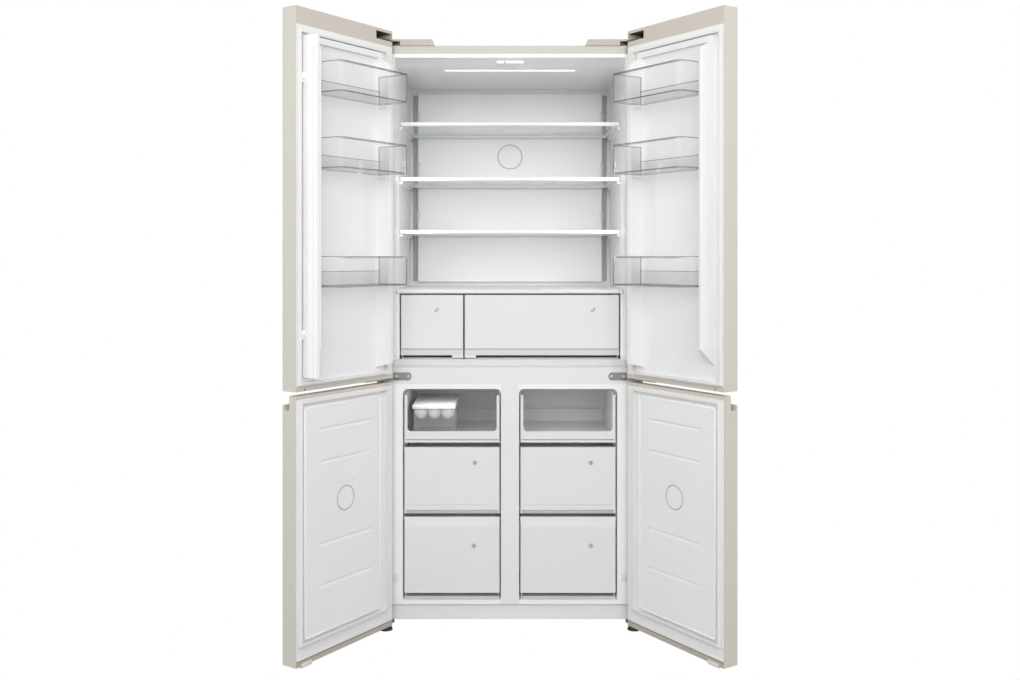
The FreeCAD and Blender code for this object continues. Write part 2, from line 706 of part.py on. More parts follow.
def low_lip(x0, x1, level):
    """Cut that leaves a set-back lip under a drawer face."""
    return box(x0, x1, DRAWER_FRONT, DRAWER_FRONT + DRAWER_LIP_DEPTH, level, level + DRAWER_LIP)


def top_band(x0, x1, level):
    """Slanted cut that leaves a pull along the top of a drawer face."""
    front = DRAWER_FRONT
    return prism([(x0, front, level), (x0, front + DRAWER_BAND_DEPTH, level),
                  (x0, front, level - DRAWER_BAND)], (x1 - x0, 0, 0))


def freezer_drawer(face, length, floor, shaping):
    """Left freezer drawer: a rounded and shaped face on an open-topped tub."""
    x0 = -FREEZER_OUTER + DRAWER_GAP
    x1 = -FREEZER_INNER - DRAWER_GAP
    front = DRAWER_FRONT
    panel = box(x0, x1, front, front + DRAWER_FACE, face[0], face[1])
    panel = cut(rounded_front(panel, front, FACE_CORNER), [tool(x0, x1, level) for tool, level in shaping])
    wall = DRAWER_WALL
    top = face[1] - DRAWER_SINK
    start = front + DRAWER_FACE
    tub = box(x0 + wall, x1 - wall, start, front + length, floor, top)
    hollow = box(x0 + 2 * wall, x1 - 2 * wall, start, front + length - wall, floor + wall, top)
    return fuse([panel, cut(tub, [hollow])])


def freezer_tray():
    """Left pull-out tray with a low front lip between two posts."""
    x0 = -FREEZER_OUTER + DRAWER_GAP
    x1 = -FREEZER_INNER - DRAWER_GAP
    front = DRAWER_FRONT
    wall = DRAWER_WALL
    tub = box(x0, x1, front, front + DRAWER_LENGTH, TRAY_FLOOR, TRAY_TOP)
    tub = rounded_front(tub, front, FACE_CORNER)
    hollow = box(x0 + wall, x1 - wall, front + DRAWER_FACE / 2, front + DRAWER_LENGTH - wall,
                 TRAY_FLOOR + wall, TRAY_TOP)
    window = box(x0 + TRAY_POST, x1 - TRAY_POST, front, front + DRAWER_FACE,
                 TRAY_FLOOR + TRAY_LIP, TRAY_TOP)
    low_corners = [e for e in window.Edges if abs(e.CenterOfMass.z - TRAY_FLOOR - TRAY_LIP) < 1e-6
                   and abs(e.CenterOfMass.y - front - DRAWER_FACE / 2) < 1e-6]
    window = window.makeFillet(TRAY_CORNER, low_corners)
    sides = prism([(x0, front + DRAWER_LENGTH, TRAY_TOP),
                   (x0, front + DRAWER_LENGTH, TRAY_TOP - TRAY_BACK_DROP),
                   (x0, front + DRAWER_LENGTH / 3, TRAY_TOP)], (x1 - x0, 0, 0))
    return cut(tub, [hollow, window, sides, face_line(x0, x1, TRAY_FLOOR + TRAY_LIP_LINE)])


def build_freezer_drawers():
    tray = freezer_tray()
    low = MIDDLE_FACE[0]
    middle = freezer_drawer(MIDDLE_FACE, DRAWER_LENGTH, low + DRAWER_SINK,
                            [(low_lip, low), (face_line, low + DRAWER_LINE)])
    bottom = freezer_drawer(BOTTOM_FACE, LOW_DRAWER_LENGTH, FREEZER_FLOOR + SEAT,
                            [(top_band, BOTTOM_FACE[1])])
    for name, left in (("tray", tray), ("drawer_middle", middle), ("drawer_bottom", bottom)):
        keep("%s_left" % name, left)
        keep("%s_right" % name, mirrored(left))


def door_box(s0, s1, d0, d1, z0, z1):
    return box(PIVOT_X + s0, PIVOT_X + s1, PIVOT_Y + d0, PIVOT_Y + d1, z0, z1)


def door_prism(points, length):
    """Prism along s from points (s, d, z)."""
    return prism([(PIVOT_X + s, PIVOT_Y + d, z) for s, d, z in points], (length, 0, 0))


def opened(shape):
    turned = shape.copy()
    turned.rotate(V(PIVOT_X, PIVOT_Y, 0), V(0, 0, 1), -DOOR_OPEN)
    return turned


def keep_door(side, name, *solids):
    """Place closed left-hand solids on the open left or right door."""
    placed = [opened(s) for s in solids]
    if side == "right":
        placed = [mirrored(s) for s in placed]
    keep(name, *placed)


def hinge_bore(z0, z1):
    return cylinder_z(PIVOT_X, PIVOT_Y, z0, z1, PIN_RADIUS + PIN_CLEARANCE)


def door_skin(z0, z1):
    """Folded sheet: front and both edges, with rounded front corners."""
    body = door_box(S_HINGE, S_FREE, D_FRONT, D_BACK, z0, z1)
    body = rounded(body, DOOR_CORNER, lambda x, y: abs(y - PIVOT_Y - D_FRONT) < 1e-6)
    return cut(body, [cap_pocket(z0, z1, D_FRONT + SKIN)])


def cap_pocket(z0, z1, d0):
    """Space inside the folded sheet, with corners that follow its bends."""
    block = door_box(S_HINGE + SKIN, S_FREE - SKIN, d0, D_BACK, z0, z1)
    return rounded(block, DOOR_CORNER - SKIN, lambda x, y: abs(y - PIVOT_Y - d0) < 1e-6)


def gasket(s0, s1, z0, z1):
    """Seal with a rounded crown, all round the liner."""
    outer = door_box(s0, s1, D_BACK, D_BACK + GASKET_THICK, z0, z1)
    crown = PIVOT_Y + D_BACK + GASKET_THICK
    outer = outer.makeFillet(GASKET_ROUND, [e for e in outer.Edges if abs(e.CenterOfMass.y - crown) < 1e-6])
    inner = door_box(s0 + GASKET_WIDTH, s1 - GASKET_WIDTH, D_BACK, D_BACK + GASKET_THICK,
                     z0 + GASKET_WIDTH, z1 - GASKET_WIDTH)
    return cut(outer, [inner])


def hinge_notch():
    """Recess for the top hinge arm, lower at the door end than inside."""
    d0 = D_FRONT + NOTCH_SKIN
    arm_top = CASE_TOP + HINGE_JOGGLE + HINGE_PLATE
    room = door_box(S_HINGE + NOTCH_SKIN, NOTCH_END, d0, D_BACK, NOTCH_FLOOR, UPPER_TOP - NOTCH_ROOF)
    mouth = door_box(S_HINGE, S_HINGE + NOTCH_SKIN, d0, D_BACK, NOTCH_FLOOR, arm_top + CURTAIN_ROOM)
    return fuse([room, mouth])


def build_upper_door(side):
    """Body, end caps, liner with two dykes and bin lugs, and gasket."""
    cap_top = UPPER_TOP - UPPER_CAP_TOP
    cap_low = UPPER_BOTTOM + UPPER_CAP_BOTTOM
    d_skin = D_FRONT + SKIN
    top = cap_pocket(cap_top, UPPER_TOP, d_skin)
    low = cap_pocket(UPPER_BOTTOM, cap_low, d_skin)
    notch = hinge_notch()
    sheet = door_box(S_HINGE + SKIN, S_FREE - SKIN, D_BACK - LINER_PLATE, D_BACK, cap_low, cap_top)
    core = cut(cap_pocket(cap_low, cap_top, d_skin), [sheet])
    skin = cut(door_skin(UPPER_BOTTOM, UPPER_TOP), [notch])
    top = cut(top, [notch, hinge_bore(TOP_PIN_END - PIN_END_ROOM, NOTCH_FLOOR)])
    low = cut(low, [hinge_bore(UPPER_BOTTOM, MID_PIN_TOP + PIN_END_ROOM)])
    keep_door(side, "upper_%s_skin" % side, skin)
    keep_door(side, "upper_%s_foam" % side, core)
    keep_door(side, "upper_%s_caps" % side, top, low)
    free = DYKE_FREE_LEFT if side == "left" else DYKE_FREE_RIGHT
    liner = fuse([sheet] + door_dykes(free) + bin_lugs() + (flip_brackets() if side == "left" else []))
    keep_door(side, "upper_%s_liner" % side, liner)
    seal = gasket(GASKET_HINGE, S_FREE - GASKET_FREE, UPPER_SEAL[0], UPPER_SEAL[1])
    keep_door(side, "upper_%s_gasket" % side, seal)


def dyke(s0, width, low, slant):
    """Upright ridge with slanted ends and rounded crest edges."""
    tip = D_BACK + DYKE_RISE
    outline = [(D_BACK, low), (tip, low + slant), (tip, DYKE_TOP - DYKE_TOP_SLANT), (D_BACK, DYKE_TOP)]
    ridge = door_prism([(s0, d, z) for d, z in outline], width)
    crest = [e for e in ridge.Edges if abs(e.CenterOfMass.y - PIVOT_Y - tip) < 1e-6
             and abs(e.Vertexes[0].Point.z - e.Vertexes[-1].Point.z) > DYKE_RISE]
    return ridge.makeFillet(DYKE_CREST, crest)


def door_dykes(free):
    """Dykes on the hinge side and the free side, and the low bar above them."""
    hinge_side = dyke(DYKE_START, DYKE_HINGE, FRIDGE_FLOOR - DYKE_HINGE_DROP, DYKE_HINGE_SLANT)
    free_side = dyke(BIN_END, free, FRIDGE_FLOOR + DYKE_FREE_LIFT, DYKE_FREE_SLANT)
    bar_top = CASE_TOP - FRAME_TOP_GAP
    bar = door_box(DYKE_START, BIN_END + free, D_BACK, D_BACK + FRAME_RISE, bar_top - FRAME_BAR, bar_top)
    return [hinge_side, free_side, bar]


def bin_lugs():
    lugs = []
    d0 = D_BACK + BIN_BACK_GAP
    for floor in BIN_FLOORS:
        top = floor - SEAT
        for s0 in (BIN_START, BIN_END - LUG_REACH):
            lugs.append(door_box(s0, s0 + LUG_REACH, d0, d0 + LUG_LENGTH, top - LUG_HEIGHT, top))
    return lugs


def bin_block(ends, depths, levels, shrink):
    """Block with a tight corner at the hinge side and a round one at the free side."""
    block = door_box(ends[0], ends[1], depths[0], depths[1], levels[0], levels[1])
    front = PIVOT_Y + depths[1]
    middle = PIVOT_X + (ends[0] + ends[1]) / 2
    block = rounded(block, BIN_CORNER_HINGE - shrink, lambda x, y: abs(y - front) < 1e-6 and x < middle)
    return rounded(block, BIN_CORNER_FREE - shrink, lambda x, y: abs(y - front) < 1e-6 and x > middle)


def bin_solid(floor):
    """Clear bin with a beaded front rim and a low back wall."""
    s0 = BIN_START + SEAT
    s1 = BIN_END - SEAT
    d0 = D_BACK + BIN_BACK_GAP
    d1 = d0 + BIN_DEPTH
    wall = BIN_WALL
    top = floor + BIN_HEIGHT
    outer = bin_block((s0, s1), (d0, d1), (floor, top), 0)
    rim = bin_block((s0, s1), (d0, d1 + BIN_RIM), (top - BIN_RIM_HEIGHT, top), 0)
    inner = bin_block((s0 + wall, s1 - wall), (d0 + wall, d1 - wall), (floor + wall, top), wall)
    dip = door_box(s0 + wall, s1 - wall, d0, d0 + wall, floor + BIN_HEIGHT / 2, top)
    return cut(fuse([outer, rim]), [inner, dip])


def build_bins():
    for side in ("left", "right"):
        for name, floor in zip(("top", "middle", "bottom"), BIN_FLOORS):
            keep_door(side, "bin_%s_%s" % (side, name), bin_solid(floor))


def flip_axis():
    """Beam axis (s, d) that turns the beam a quarter turn from flat to folded."""
    s_fold = S_FREE - FLIP_EDGE
    d_fold = D_BACK + FLIP_GAP
    d_flat = PIVOT_FRONT + FLIP_SEAL_GAP
    s_flat = s_fold + FLIP_SIDE_GAP
    total = s_fold + d_flat
    shift = d_fold - s_flat
    return (total - shift) / 2, (total + shift) / 2


def flip_ear_levels():
    return (FLIP_BOTTOM + FLIP_EAR_INSET, FLIP_TOP - FLIP_EAR_INSET)


def flip_brackets():
    """Door-side brackets of the beam, each with an upright pin."""
    s, d = flip_axis()
    brackets = []
    for level in flip_ear_levels():
        z0 = level - FLIP_EAR_HEIGHT
        arm = door_box(s - FLIP_EAR, s + FLIP_EAR, D_BACK, d, z0, level - SEAT)
        knuckle = cylinder_z(PIVOT_X + s, PIVOT_Y + d, z0, level - SEAT, FLIP_EAR)
        pin = cylinder_z(PIVOT_X + s, PIVOT_Y + d, z0, level + FLIP_EAR_HEIGHT, FLIP_PIN)
        brackets += [arm, knuckle, pin]
    return brackets


def build_flip_beam():
    """Folding beam, folded square to the door, with an ear on each bracket pin."""
    s, d = flip_axis()
    s1 = S_FREE - FLIP_EDGE
    d0 = D_BACK + FLIP_GAP
    beam = door_box(s1 - FLIP_THICK, s1, d0, d0 + FLIP_WIDTH, FLIP_BOTTOM, FLIP_TOP)
    beam = rounded(beam, FLIP_ROUND, lambda x, y: True)
    grooves = [door_box(s1 - FLIP_GROOVE, s1, d0 + share * FLIP_WIDTH, d0 + share * FLIP_WIDTH + FLIP_GROOVE,
                        FLIP_BOTTOM, FLIP_TOP) for share in FLIP_GROOVES]
    beam = cut(beam, grooves)
    ears = []
    bores = []
    for level in flip_ear_levels():
        z1 = level + FLIP_EAR_HEIGHT
        x, y = PIVOT_X + s, PIVOT_Y + d
        ears.append(cylinder_z(x, y, level, z1, FLIP_EAR))
        ears.append(door_box(s1 - FLIP_THICK / 2, s, d - FLIP_EAR, d + FLIP_EAR, level, z1))
        bores.append(cylinder_z(x, y, level, z1, FLIP_PIN + PIN_CLEARANCE))
    keep_door("left", "flip_beam", cut(fuse([beam] + ears), bores))


def build_lower_door(side):
    """Body with a top grip, end caps, ribbed liner and gasket."""
    cap_top = LOWER_TOP - LOWER_CAP_TOP
    cap_low = LOWER_BOTTOM + LOWER_CAP_BOTTOM
    d_skin = D_FRONT + SKIN
    d_sheet = D_BACK - LINER_PLATE
    grip_back = D_FRONT + GRIP_LIP + GRIP_GROOVE
    lip_top = LOWER_TOP - GRIP_DROP
    groove_floor = lip_top - GRIP_DEPTH
    cap_base = groove_floor - GRIP_FLOOR
    grip = [
        door_box(S_HINGE, S_FREE, D_FRONT, grip_back, lip_top, LOWER_TOP),
        door_box(S_HINGE, S_FREE, D_FRONT + GRIP_LIP, grip_back, groove_floor, LOWER_TOP)]
    low = cap_pocket(LOWER_BOTTOM, cap_low, d_skin)
    sheet = door_box(S_HINGE + SKIN, S_FREE - SKIN, d_sheet, D_BACK, cap_low, cap_top)
    core = cut(cap_pocket(cap_low, cap_base, d_skin), [sheet])
    skin = cut(door_skin(LOWER_BOTTOM, LOWER_TOP), grip)
    bore = hinge_bore(MID_PIN_LOW - PIN_END_ROOM, LOWER_TOP)
    top = cut(cap_pocket(cap_base, LOWER_TOP, d_skin), grip + [sheet, bore])
    low = cut(low, [hinge_bore(LOWER_BOTTOM, LOW_PIN_TOP + PIN_END_ROOM)])
    keep_door(side, "lower_%s_skin" % side, skin)
    keep_door(side, "lower_%s_foam" % side, core)
    keep_door(side, "lower_%s_caps" % side, top, low)
    keep_door(side, "lower_%s_liner" % side, ribbed_liner(sheet))
    seal = gasket(GASKET_HINGE, S_FREE - LOWER_GASKET_FREE, LOWER_SEAL[0], LOWER_SEAL[1])
    keep_door(side, "lower_%s_gasket" % side, seal)


def ribbed_liner(sheet):
    """Flat liner with a raised field, four slanted cross grooves and a plain ring in a square."""
    s0, s1, z0, z1 = FIELD
    d1 = D_BACK + FIELD_RISE
    field = door_box(s0, s1, D_BACK, d1, z0, z1)
    across = [e for e in field.Edges if abs(e.Vertexes[0].Point.y - e.Vertexes[-1].Point.y) > FIELD_RISE / 2]
    field = field.makeFillet(FIELD_CORNER, across)
    crest = [e for e in field.Edges if abs(e.CenterOfMass.y - PIVOT_Y - d1) < 1e-6]
    field = field.makeChamfer(FIELD_SLOPE, crest)
    cuts = [slant_groove(d1, z) for z in RIB_LEVELS]
    s_mid = (RIB_SPAN[0] + RIB_SPAN[1]) / 2
    cuts.append(door_box(s_mid - BADGE_SQUARE, s_mid + BADGE_SQUARE, d1 - BADGE_SINK, d1,
                         BADGE_LEVEL - BADGE_SQUARE, BADGE_LEVEL + BADGE_SQUARE))
    centre = V(PIVOT_X + s_mid, PIVOT_Y + d1 - BADGE_DEPTH, BADGE_LEVEL)
    disc = Part.makeCylinder(BADGE_RADIUS, BADGE_DEPTH, centre, V(0, 1, 0))
    hub = Part.makeCylinder(BADGE_RADIUS - BADGE_LINE, BADGE_DEPTH, centre, V(0, 1, 0))
    cuts.append(disc.cut(hub))
    return cut(fuse([sheet, field]), cuts)


def slant_groove(d1, level):
    """Groove that is deep at its upper edge and runs out at its lower one."""
    x = PIVOT_X + RIB_SPAN[0]
    y = PIVOT_Y + d1
    high = level + RIB_WIDTH / 2
    section = [(x, y, high), (x, y - RIB_DEPTH, high), (x, y, level - RIB_WIDTH / 2)]
    return prism(section, (RIB_SPAN[1] - RIB_SPAN[0], 0, 0))


def arm_plate(root_x0, root_x1, root_y, z0, z1):
    """Flat arm from a straight root to a round eye about the left door axis."""
    eye = cylinder_z(PIVOT_X, PIVOT_Y, z0, z1, TOP_ARM_HALF)
    outline = [
        (PIVOT_X - TOP_ARM_HALF, PIVOT_Y, z0),
        (PIVOT_X + TOP_ARM_HALF, PIVOT_Y, z0),
        (root_x1, root_y, z0),
        (root_x0, root_y, z0),
    ]
    return fuse([prism(outline, (0, 0, z1 - z0)), eye])


def top_hinge():
    """Plate on the cabinet top with a raised arm and a pin that points down."""
    low = CASE_TOP
    high = CASE_TOP + HINGE_JOGGLE
    x0 = PIVOT_X - TOP_ARM_HALF + TOP_ROOT_INSET
    x1 = -COVER_OUTER + COVER_MOUTH - COVER_ROOM
    y0 = HINGE_SETBACK
    y1 = HINGE_SETBACK + TOP_ARM_HALF
    plate = box(x0, -COVER_INNER - 4 * COVER_SLANT, y0, COVER_DEPTH - HINGE_SETBACK - COVER_WALL,
                low, low + HINGE_PLATE)
    riser = box(x0, x1, y0, y1, low, high + HINGE_PLATE)
    arm = arm_plate(x0, x1, y1, high, high + HINGE_PLATE)
    pin = cylinder_z(PIVOT_X, PIVOT_Y, TOP_PIN_END, high + HINGE_PLATE, PIN_RADIUS)
    return fuse([plate, riser, arm, pin])


def middle_hinge():
    """Upright plate on the cross beam, arm in the door gap, pins up and down."""
    mid = (UPPER_BOTTOM + LOWER_TOP) / 2
    z0 = mid - MID_PLATE / 2
    z1 = mid + MID_PLATE / 2
    plate = box(-MID_PLATE_OUTER, -MID_PLATE_INNER, -MID_PLATE, 0, MID_PLATE_BOTTOM, MID_PLATE_TOP)
    round_end = [e for e in plate.Edges
                 if abs(e.CenterOfMass.x + MID_PLATE_INNER) < 1e-6
                 and abs(e.CenterOfMass.y + MID_PLATE / 2) < 1e-6]
    plate = plate.makeFillet(MID_CORNER, round_end)
    arm = arm_plate(-MID_PLATE_OUTER, -MID_PLATE_OUTER + 2 * TOP_ARM_HALF, -MID_PLATE / 2, z0, z1)
    pin = cylinder_z(PIVOT_X, PIVOT_Y, MID_PIN_LOW, MID_PIN_TOP, PIN_RADIUS)
    return fuse([plate, arm, pin])


def bottom_hinge():
    """Bracket on the base with an arm under the door and a pin that points up."""
    z1 = LOW_PLATE_TOP
    z0 = z1 - HINGE_PLATE
    x0 = PIVOT_X - TOP_ARM_HALF
    x1 = PIVOT_X + 3 * TOP_ARM_HALF
    back = KICK_FRONT + KICK_THICK + KICK_GAP
    arm = arm_plate(x0, x1, back + HINGE_PLATE, z0, z1)
    riser = box(x0, x1, back, back + HINGE_PLATE, z0, BAY_FLOOR)
    foot = box(x0, x1, back, back + LOW_FOOT, BAY_FLOOR - HINGE_PLATE, BAY_FLOOR)
    pin = cylinder_z(PIVOT_X, PIVOT_Y, z0, LOW_PIN_TOP, PIN_RADIUS)
    foot_x, foot_y = foot_place(-1)
    hole = cylinder_z(foot_x, foot_y, z0, BAY_FLOOR, FOOT_STEM + STEM_CLEARANCE)
    return cut(fuse([arm, riser, foot, pin]), [hole])


def build_hinges():
    solids = [top_hinge(), middle_hinge(), bottom_hinge()]
    for solid in solids:
        keep("door_hinges", solid, mirrored(solid))


def build_hinge_covers():
    """Moulded covers over the top hinge plates, open below and at the arm."""
    y0 = COVER_FRONT
    y1 = COVER_DEPTH
    z0 = CASE_TOP
    z1 = CASE_TOP + COVER_HEIGHT

    def shape(grow):
        return prism([
            (-COVER_OUTER + grow, y0 + grow, z0),
            (-COVER_INNER - grow, y0 + grow, z0),
            (-COVER_INNER - COVER_SLANT - grow, y0 + grow, z1 - grow),
            (-COVER_OUTER + grow, y0 + grow, z1 - grow)], (0, y1 - y0 - 2 * grow, 0))
    arm_roof = CASE_TOP + HINGE_JOGGLE + HINGE_PLATE + COVER_WALL
    mouth = box(-COVER_OUTER, -COVER_OUTER + COVER_MOUTH, y0, y0 + 2 * COVER_WALL, z0, arm_roof)
    side = box(-COVER_OUTER, -COVER_OUTER + 2 * COVER_WALL, y0, COVER_DEPTH - HINGE_SETBACK, z0, arm_roof)
    cover = cut(shape(0), [shape(COVER_WALL), mouth, side])
    keep("hinge_covers", cover, mirrored(cover))


def foot_place(side):
    return side * (HALF - FOOT_INSET), FOOT_BACK


def roller_cheeks():
    """Bracket cheeks and axle pins for the two rear rollers."""
    solids = []
    for side in (-1, 1):
        x = side * (HALF - ROLLER_INSET)
        reach = ROLLER_WIDTH / 2 + SEAT
        for x0 in (x - reach - CHEEK, x + reach):
            solids.append(box(x0, x0 + CHEEK, ROLLER_BACK - AXLE_RADIUS * 2, ROLLER_BACK + AXLE_RADIUS * 2,
                              ROLLER_RADIUS - AXLE_RADIUS * 2, BAY_FLOOR))
        axle_end = reach + CHEEK
        solids.append(cylinder_x(ROLLER_BACK, ROLLER_RADIUS, x - axle_end, x + axle_end, AXLE_RADIUS))
    return solids


def build_base():
    front = KICK_FRONT + KICK_THICK + KICK_GAP
    z1 = BAY_FLOOR + BASE_PLATE
    plate = box(-HALF + SHEET, HALF - SHEET, front, CASE_DEPTH - SHEET, BAY_FLOOR, z1)
    bores = []
    for side in (-1, 1):
        x, y = foot_place(side)
        bores.append(cylinder_z(x, y, BAY_FLOOR, z1, FOOT_STEM + PIN_CLEARANCE))
    keep("base_pan", cut(fuse([plate] + roller_cheeks()), bores))
    for side, name in ((-1, "left"), (1, "right")):
        x, y = foot_place(side)
        sole = Part.makeCone(FOOT_RADIUS, FOOT_RADIUS - FOOT_TAPER, FOOT_HEIGHT, V(x, y, 0))
        collar = cylinder_z(x, y, FOOT_HEIGHT, FOOT_HEIGHT * 2, FOOT_COLLAR)
        stem = cylinder_z(x, y, FOOT_HEIGHT, z1, FOOT_STEM)
        keep("foot_%s" % name, fuse([sole, collar, stem]))
    for side in (-1, 1):
        x = side * (HALF - ROLLER_INSET)
        half = ROLLER_WIDTH / 2
        wheel = cylinder_x(ROLLER_BACK, ROLLER_RADIUS, x - half, x + half, ROLLER_RADIUS)
        bore = cylinder_x(ROLLER_BACK, ROLLER_RADIUS, x - ROLLER_WIDTH, x + ROLLER_WIDTH,
                          AXLE_RADIUS + PIN_CLEARANCE)
        keep("rear_rollers", cut(wheel, [bore]))


def build_kick_plate():
    """Recessed plinth with folded ends between the case sides."""
    z0 = CASE_BOTTOM
    z1 = FREEZER_FRAME_BOTTOM - LINER_WALL
    y0 = KICK_FRONT
    y1 = KICK_FRONT + KICK_THICK
    keep("kick_plate", box(-HALF + SHEET, HALF - SHEET, y0, y1, z0, z1))


def build_machine():
    """Compressor, finned condenser and louvred cover in the rear bay."""
    floor = BAY_FLOOR + BASE_PLATE
    x, y = COMPRESSOR_X, COMPRESSOR_Y
    low = floor + COMPRESSOR_FOOT
    can = cylinder_z(x, y, low, low + COMPRESSOR_BODY, COMPRESSOR_RADIUS)
    dome = Part.makeSphere(COMPRESSOR_RADIUS, V(x, y, low + COMPRESSOR_BODY))
    dome = dome.common(box(x - COMPRESSOR_RADIUS, x + COMPRESSOR_RADIUS, y - COMPRESSOR_RADIUS,
                           y + COMPRESSOR_RADIUS, low + COMPRESSOR_BODY,
                           low + COMPRESSOR_BODY + DOME_RISE))
    feet = []
    for dx in (-1, 1):
        for dy in (-1, 1):
            reach = COMPRESSOR_FOOT_REACH
            feet.append(cylinder_z(x + dx * reach, y + dy * reach, floor, low + COMPRESSOR_FOOT,
                                   COMPRESSOR_FOOT))
    keep("cooling_unit", fuse([can, dome] + feet))
    x0, x1 = CONDENSER_X
    fin_top = floor + CONDENSER_HEIGHT
    tubes = [cylinder_x(y, between(floor, fin_top, share), x0, x1, EVAPORATOR_TUBE) for share in TUBE_SHARES]
    pitch = (x1 - x0 - EVAPORATOR_FIN) / (CONDENSER_FINS - 1)
    fins = [box(x0 + i * pitch, x0 + i * pitch + EVAPORATOR_FIN, y - CONDENSER_HALF,
                y + CONDENSER_HALF, floor, fin_top) for i in range(CONDENSER_FINS)]
    keep("cooling_unit", fuse(fins + tubes))
    panel = box(-HALF + SHEET, HALF - SHEET, CASE_DEPTH - SHEET, CASE_DEPTH, floor, BAY_TOP)
    middle = (floor + BAY_TOP) / 2
    slots = []
    for i in range(LOUVRES):
        z = middle + (i - (LOUVRES - 1) / 2) * LOUVRE_PITCH
        for side in (-1, 1):
            cx = side * HALF / 2
            slots.append(box(cx - LOUVRE_WIDTH / 2, cx + LOUVRE_WIDTH / 2, CASE_DEPTH - SHEET, CASE_DEPTH,
                             z - LOUVRE_HEIGHT / 2, z + LOUVRE_HEIGHT / 2))
    keep("rear_cover", cut(panel, slots))


def build_freezer_air():
    """Grilled duct covers in both freezer spaces, with the evaporator and fan on the left."""
    x0 = -FREEZER_OUTER
    x1 = -FREEZER_INNER
    y0 = FREEZER_DUCT_FRONT
    y1 = y0 + FREEZER_DUCT_THICK
    z0 = STEP_TOP
    plate = box(x0, x1, y0, y1, z0, FREEZER_TOP).common(freezer_space(0))
    cx = (x0 + x1) / 2
    span = (x1 - x0) / 3
    slots = []
    for i in range(GRILLE_SLOTS):
        z = FAN_HEIGHT + (i - GRILLE_SLOTS / 2) * GRILLE_PITCH
        slots.append(box(cx - span, cx + span, y0, y1, z, z + GRILLE_SLOT_HEIGHT))
    left = cut(plate, slots)
    keep("air_duct_covers", left, mirrored(left))
    fin_front = y1 + FREEZER_DUCT_GAP
    pitch = (x1 - x0 - 2 * FREEZER_DUCT_GAP - EVAPORATOR_FIN) / (EVAPORATOR_FINS - 1)
    fins = [box(x0 + FREEZER_DUCT_GAP + i * pitch, x0 + FREEZER_DUCT_GAP + i * pitch + EVAPORATOR_FIN,
                fin_front, FREEZER_BACK, z0, EVAPORATOR_TOP) for i in range(EVAPORATOR_FINS)]
    mid_y = (fin_front + FREEZER_BACK) / 2
    tubes = [cylinder_x(mid_y, z, x0 + FREEZER_DUCT_GAP, x1 - FREEZER_DUCT_GAP, EVAPORATOR_TUBE)
             for z in (z0 + GRILLE_PITCH, (z0 + EVAPORATOR_TOP) / 2, EVAPORATOR_TOP - GRILLE_PITCH)]
    shaft = Part.makeCylinder(FAN_SHAFT, FREEZER_BACK - fin_front, V(cx, fin_front, FAN_HEIGHT), V(0, 1, 0))
    motor = Part.makeCylinder(FAN_HUB, FREEZER_DUCT_GAP, V(cx, FREEZER_BACK - FREEZER_DUCT_GAP, FAN_HEIGHT),
                              V(0, 1, 0))
    keep("evaporator", fuse(fins + tubes), fuse([shaft, motor]))
    hub_y = fin_front + FAN_SETBACK
    hub = Part.makeCylinder(FAN_HUB, FAN_THICK, V(cx, hub_y, FAN_HEIGHT), V(0, 1, 0))
    blades = []
    for i in range(FAN_BLADES):
        blade = box(cx - FAN_BLADE_WIDTH / 2, cx + FAN_BLADE_WIDTH / 2, hub_y + FAN_THICK / 3, hub_y + FAN_THICK / 2,
                    FAN_HEIGHT, FAN_HEIGHT + FAN_RADIUS)
        blade.rotate(V(cx, hub_y + FAN_THICK / 2, FAN_HEIGHT), V(0, 0, 1), FAN_PITCH)
        blade.rotate(V(cx, hub_y, FAN_HEIGHT), V(0, 1, 0), i * 360.0 / FAN_BLADES)
        blades.append(blade)
    bore = Part.makeCylinder(FAN_SHAFT + PIN_CLEARANCE, FREEZER_BACK, V(cx, 0, FAN_HEIGHT), V(0, 1, 0))
    keep("evaporator_fan", cut(fuse([hub] + blades), [bore]))


def export_nodes():
    """Move the middle of the whole outline to the origin and write each node."""
    whole = Part.makeCompound([solid for solids in NODES.values() for solid in solids])
    outline = whole.optimalBoundingBox()
    middle = (outline.YMin + outline.YMax) / 2
    print("moved by", -middle)
    for name, solids in NODES.items():
        parts = [piece for solid in solids for piece in solid.Solids]
        for piece in parts:
            piece.translate(V(0, -middle, 0))
        shape = parts[0] if len(parts) == 1 else Part.makeCompound(parts)
        shape.exportStep("parts/%s.step" % name)
        print(name, len(parts), "solids", "valid" if shape.isValid() else "NOT VALID")


build_case()
build_fridge_liner()
build_freezer_liners()
build_foam()
build_duct_cover()
build_lamp_and_guide()
build_shelves()
build_crisper_cover()
build_crispers()
build_freezer_drawers()
for door_side in ("left", "right"):
    build_upper_door(door_side)
    build_lower_door(door_side)
build_bins()
build_flip_beam()
build_hinges()
build_hinge_covers()
build_base()
build_kick_plate()
build_machine()
build_freezer_air()
export_nodes()
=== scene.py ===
"""Looks of an open four-door refrigerator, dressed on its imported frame."""

import json
import logging
import math
from dataclasses import dataclass, field, replace
from enum import Enum

import bpy
from mathutils import Matrix, Vector


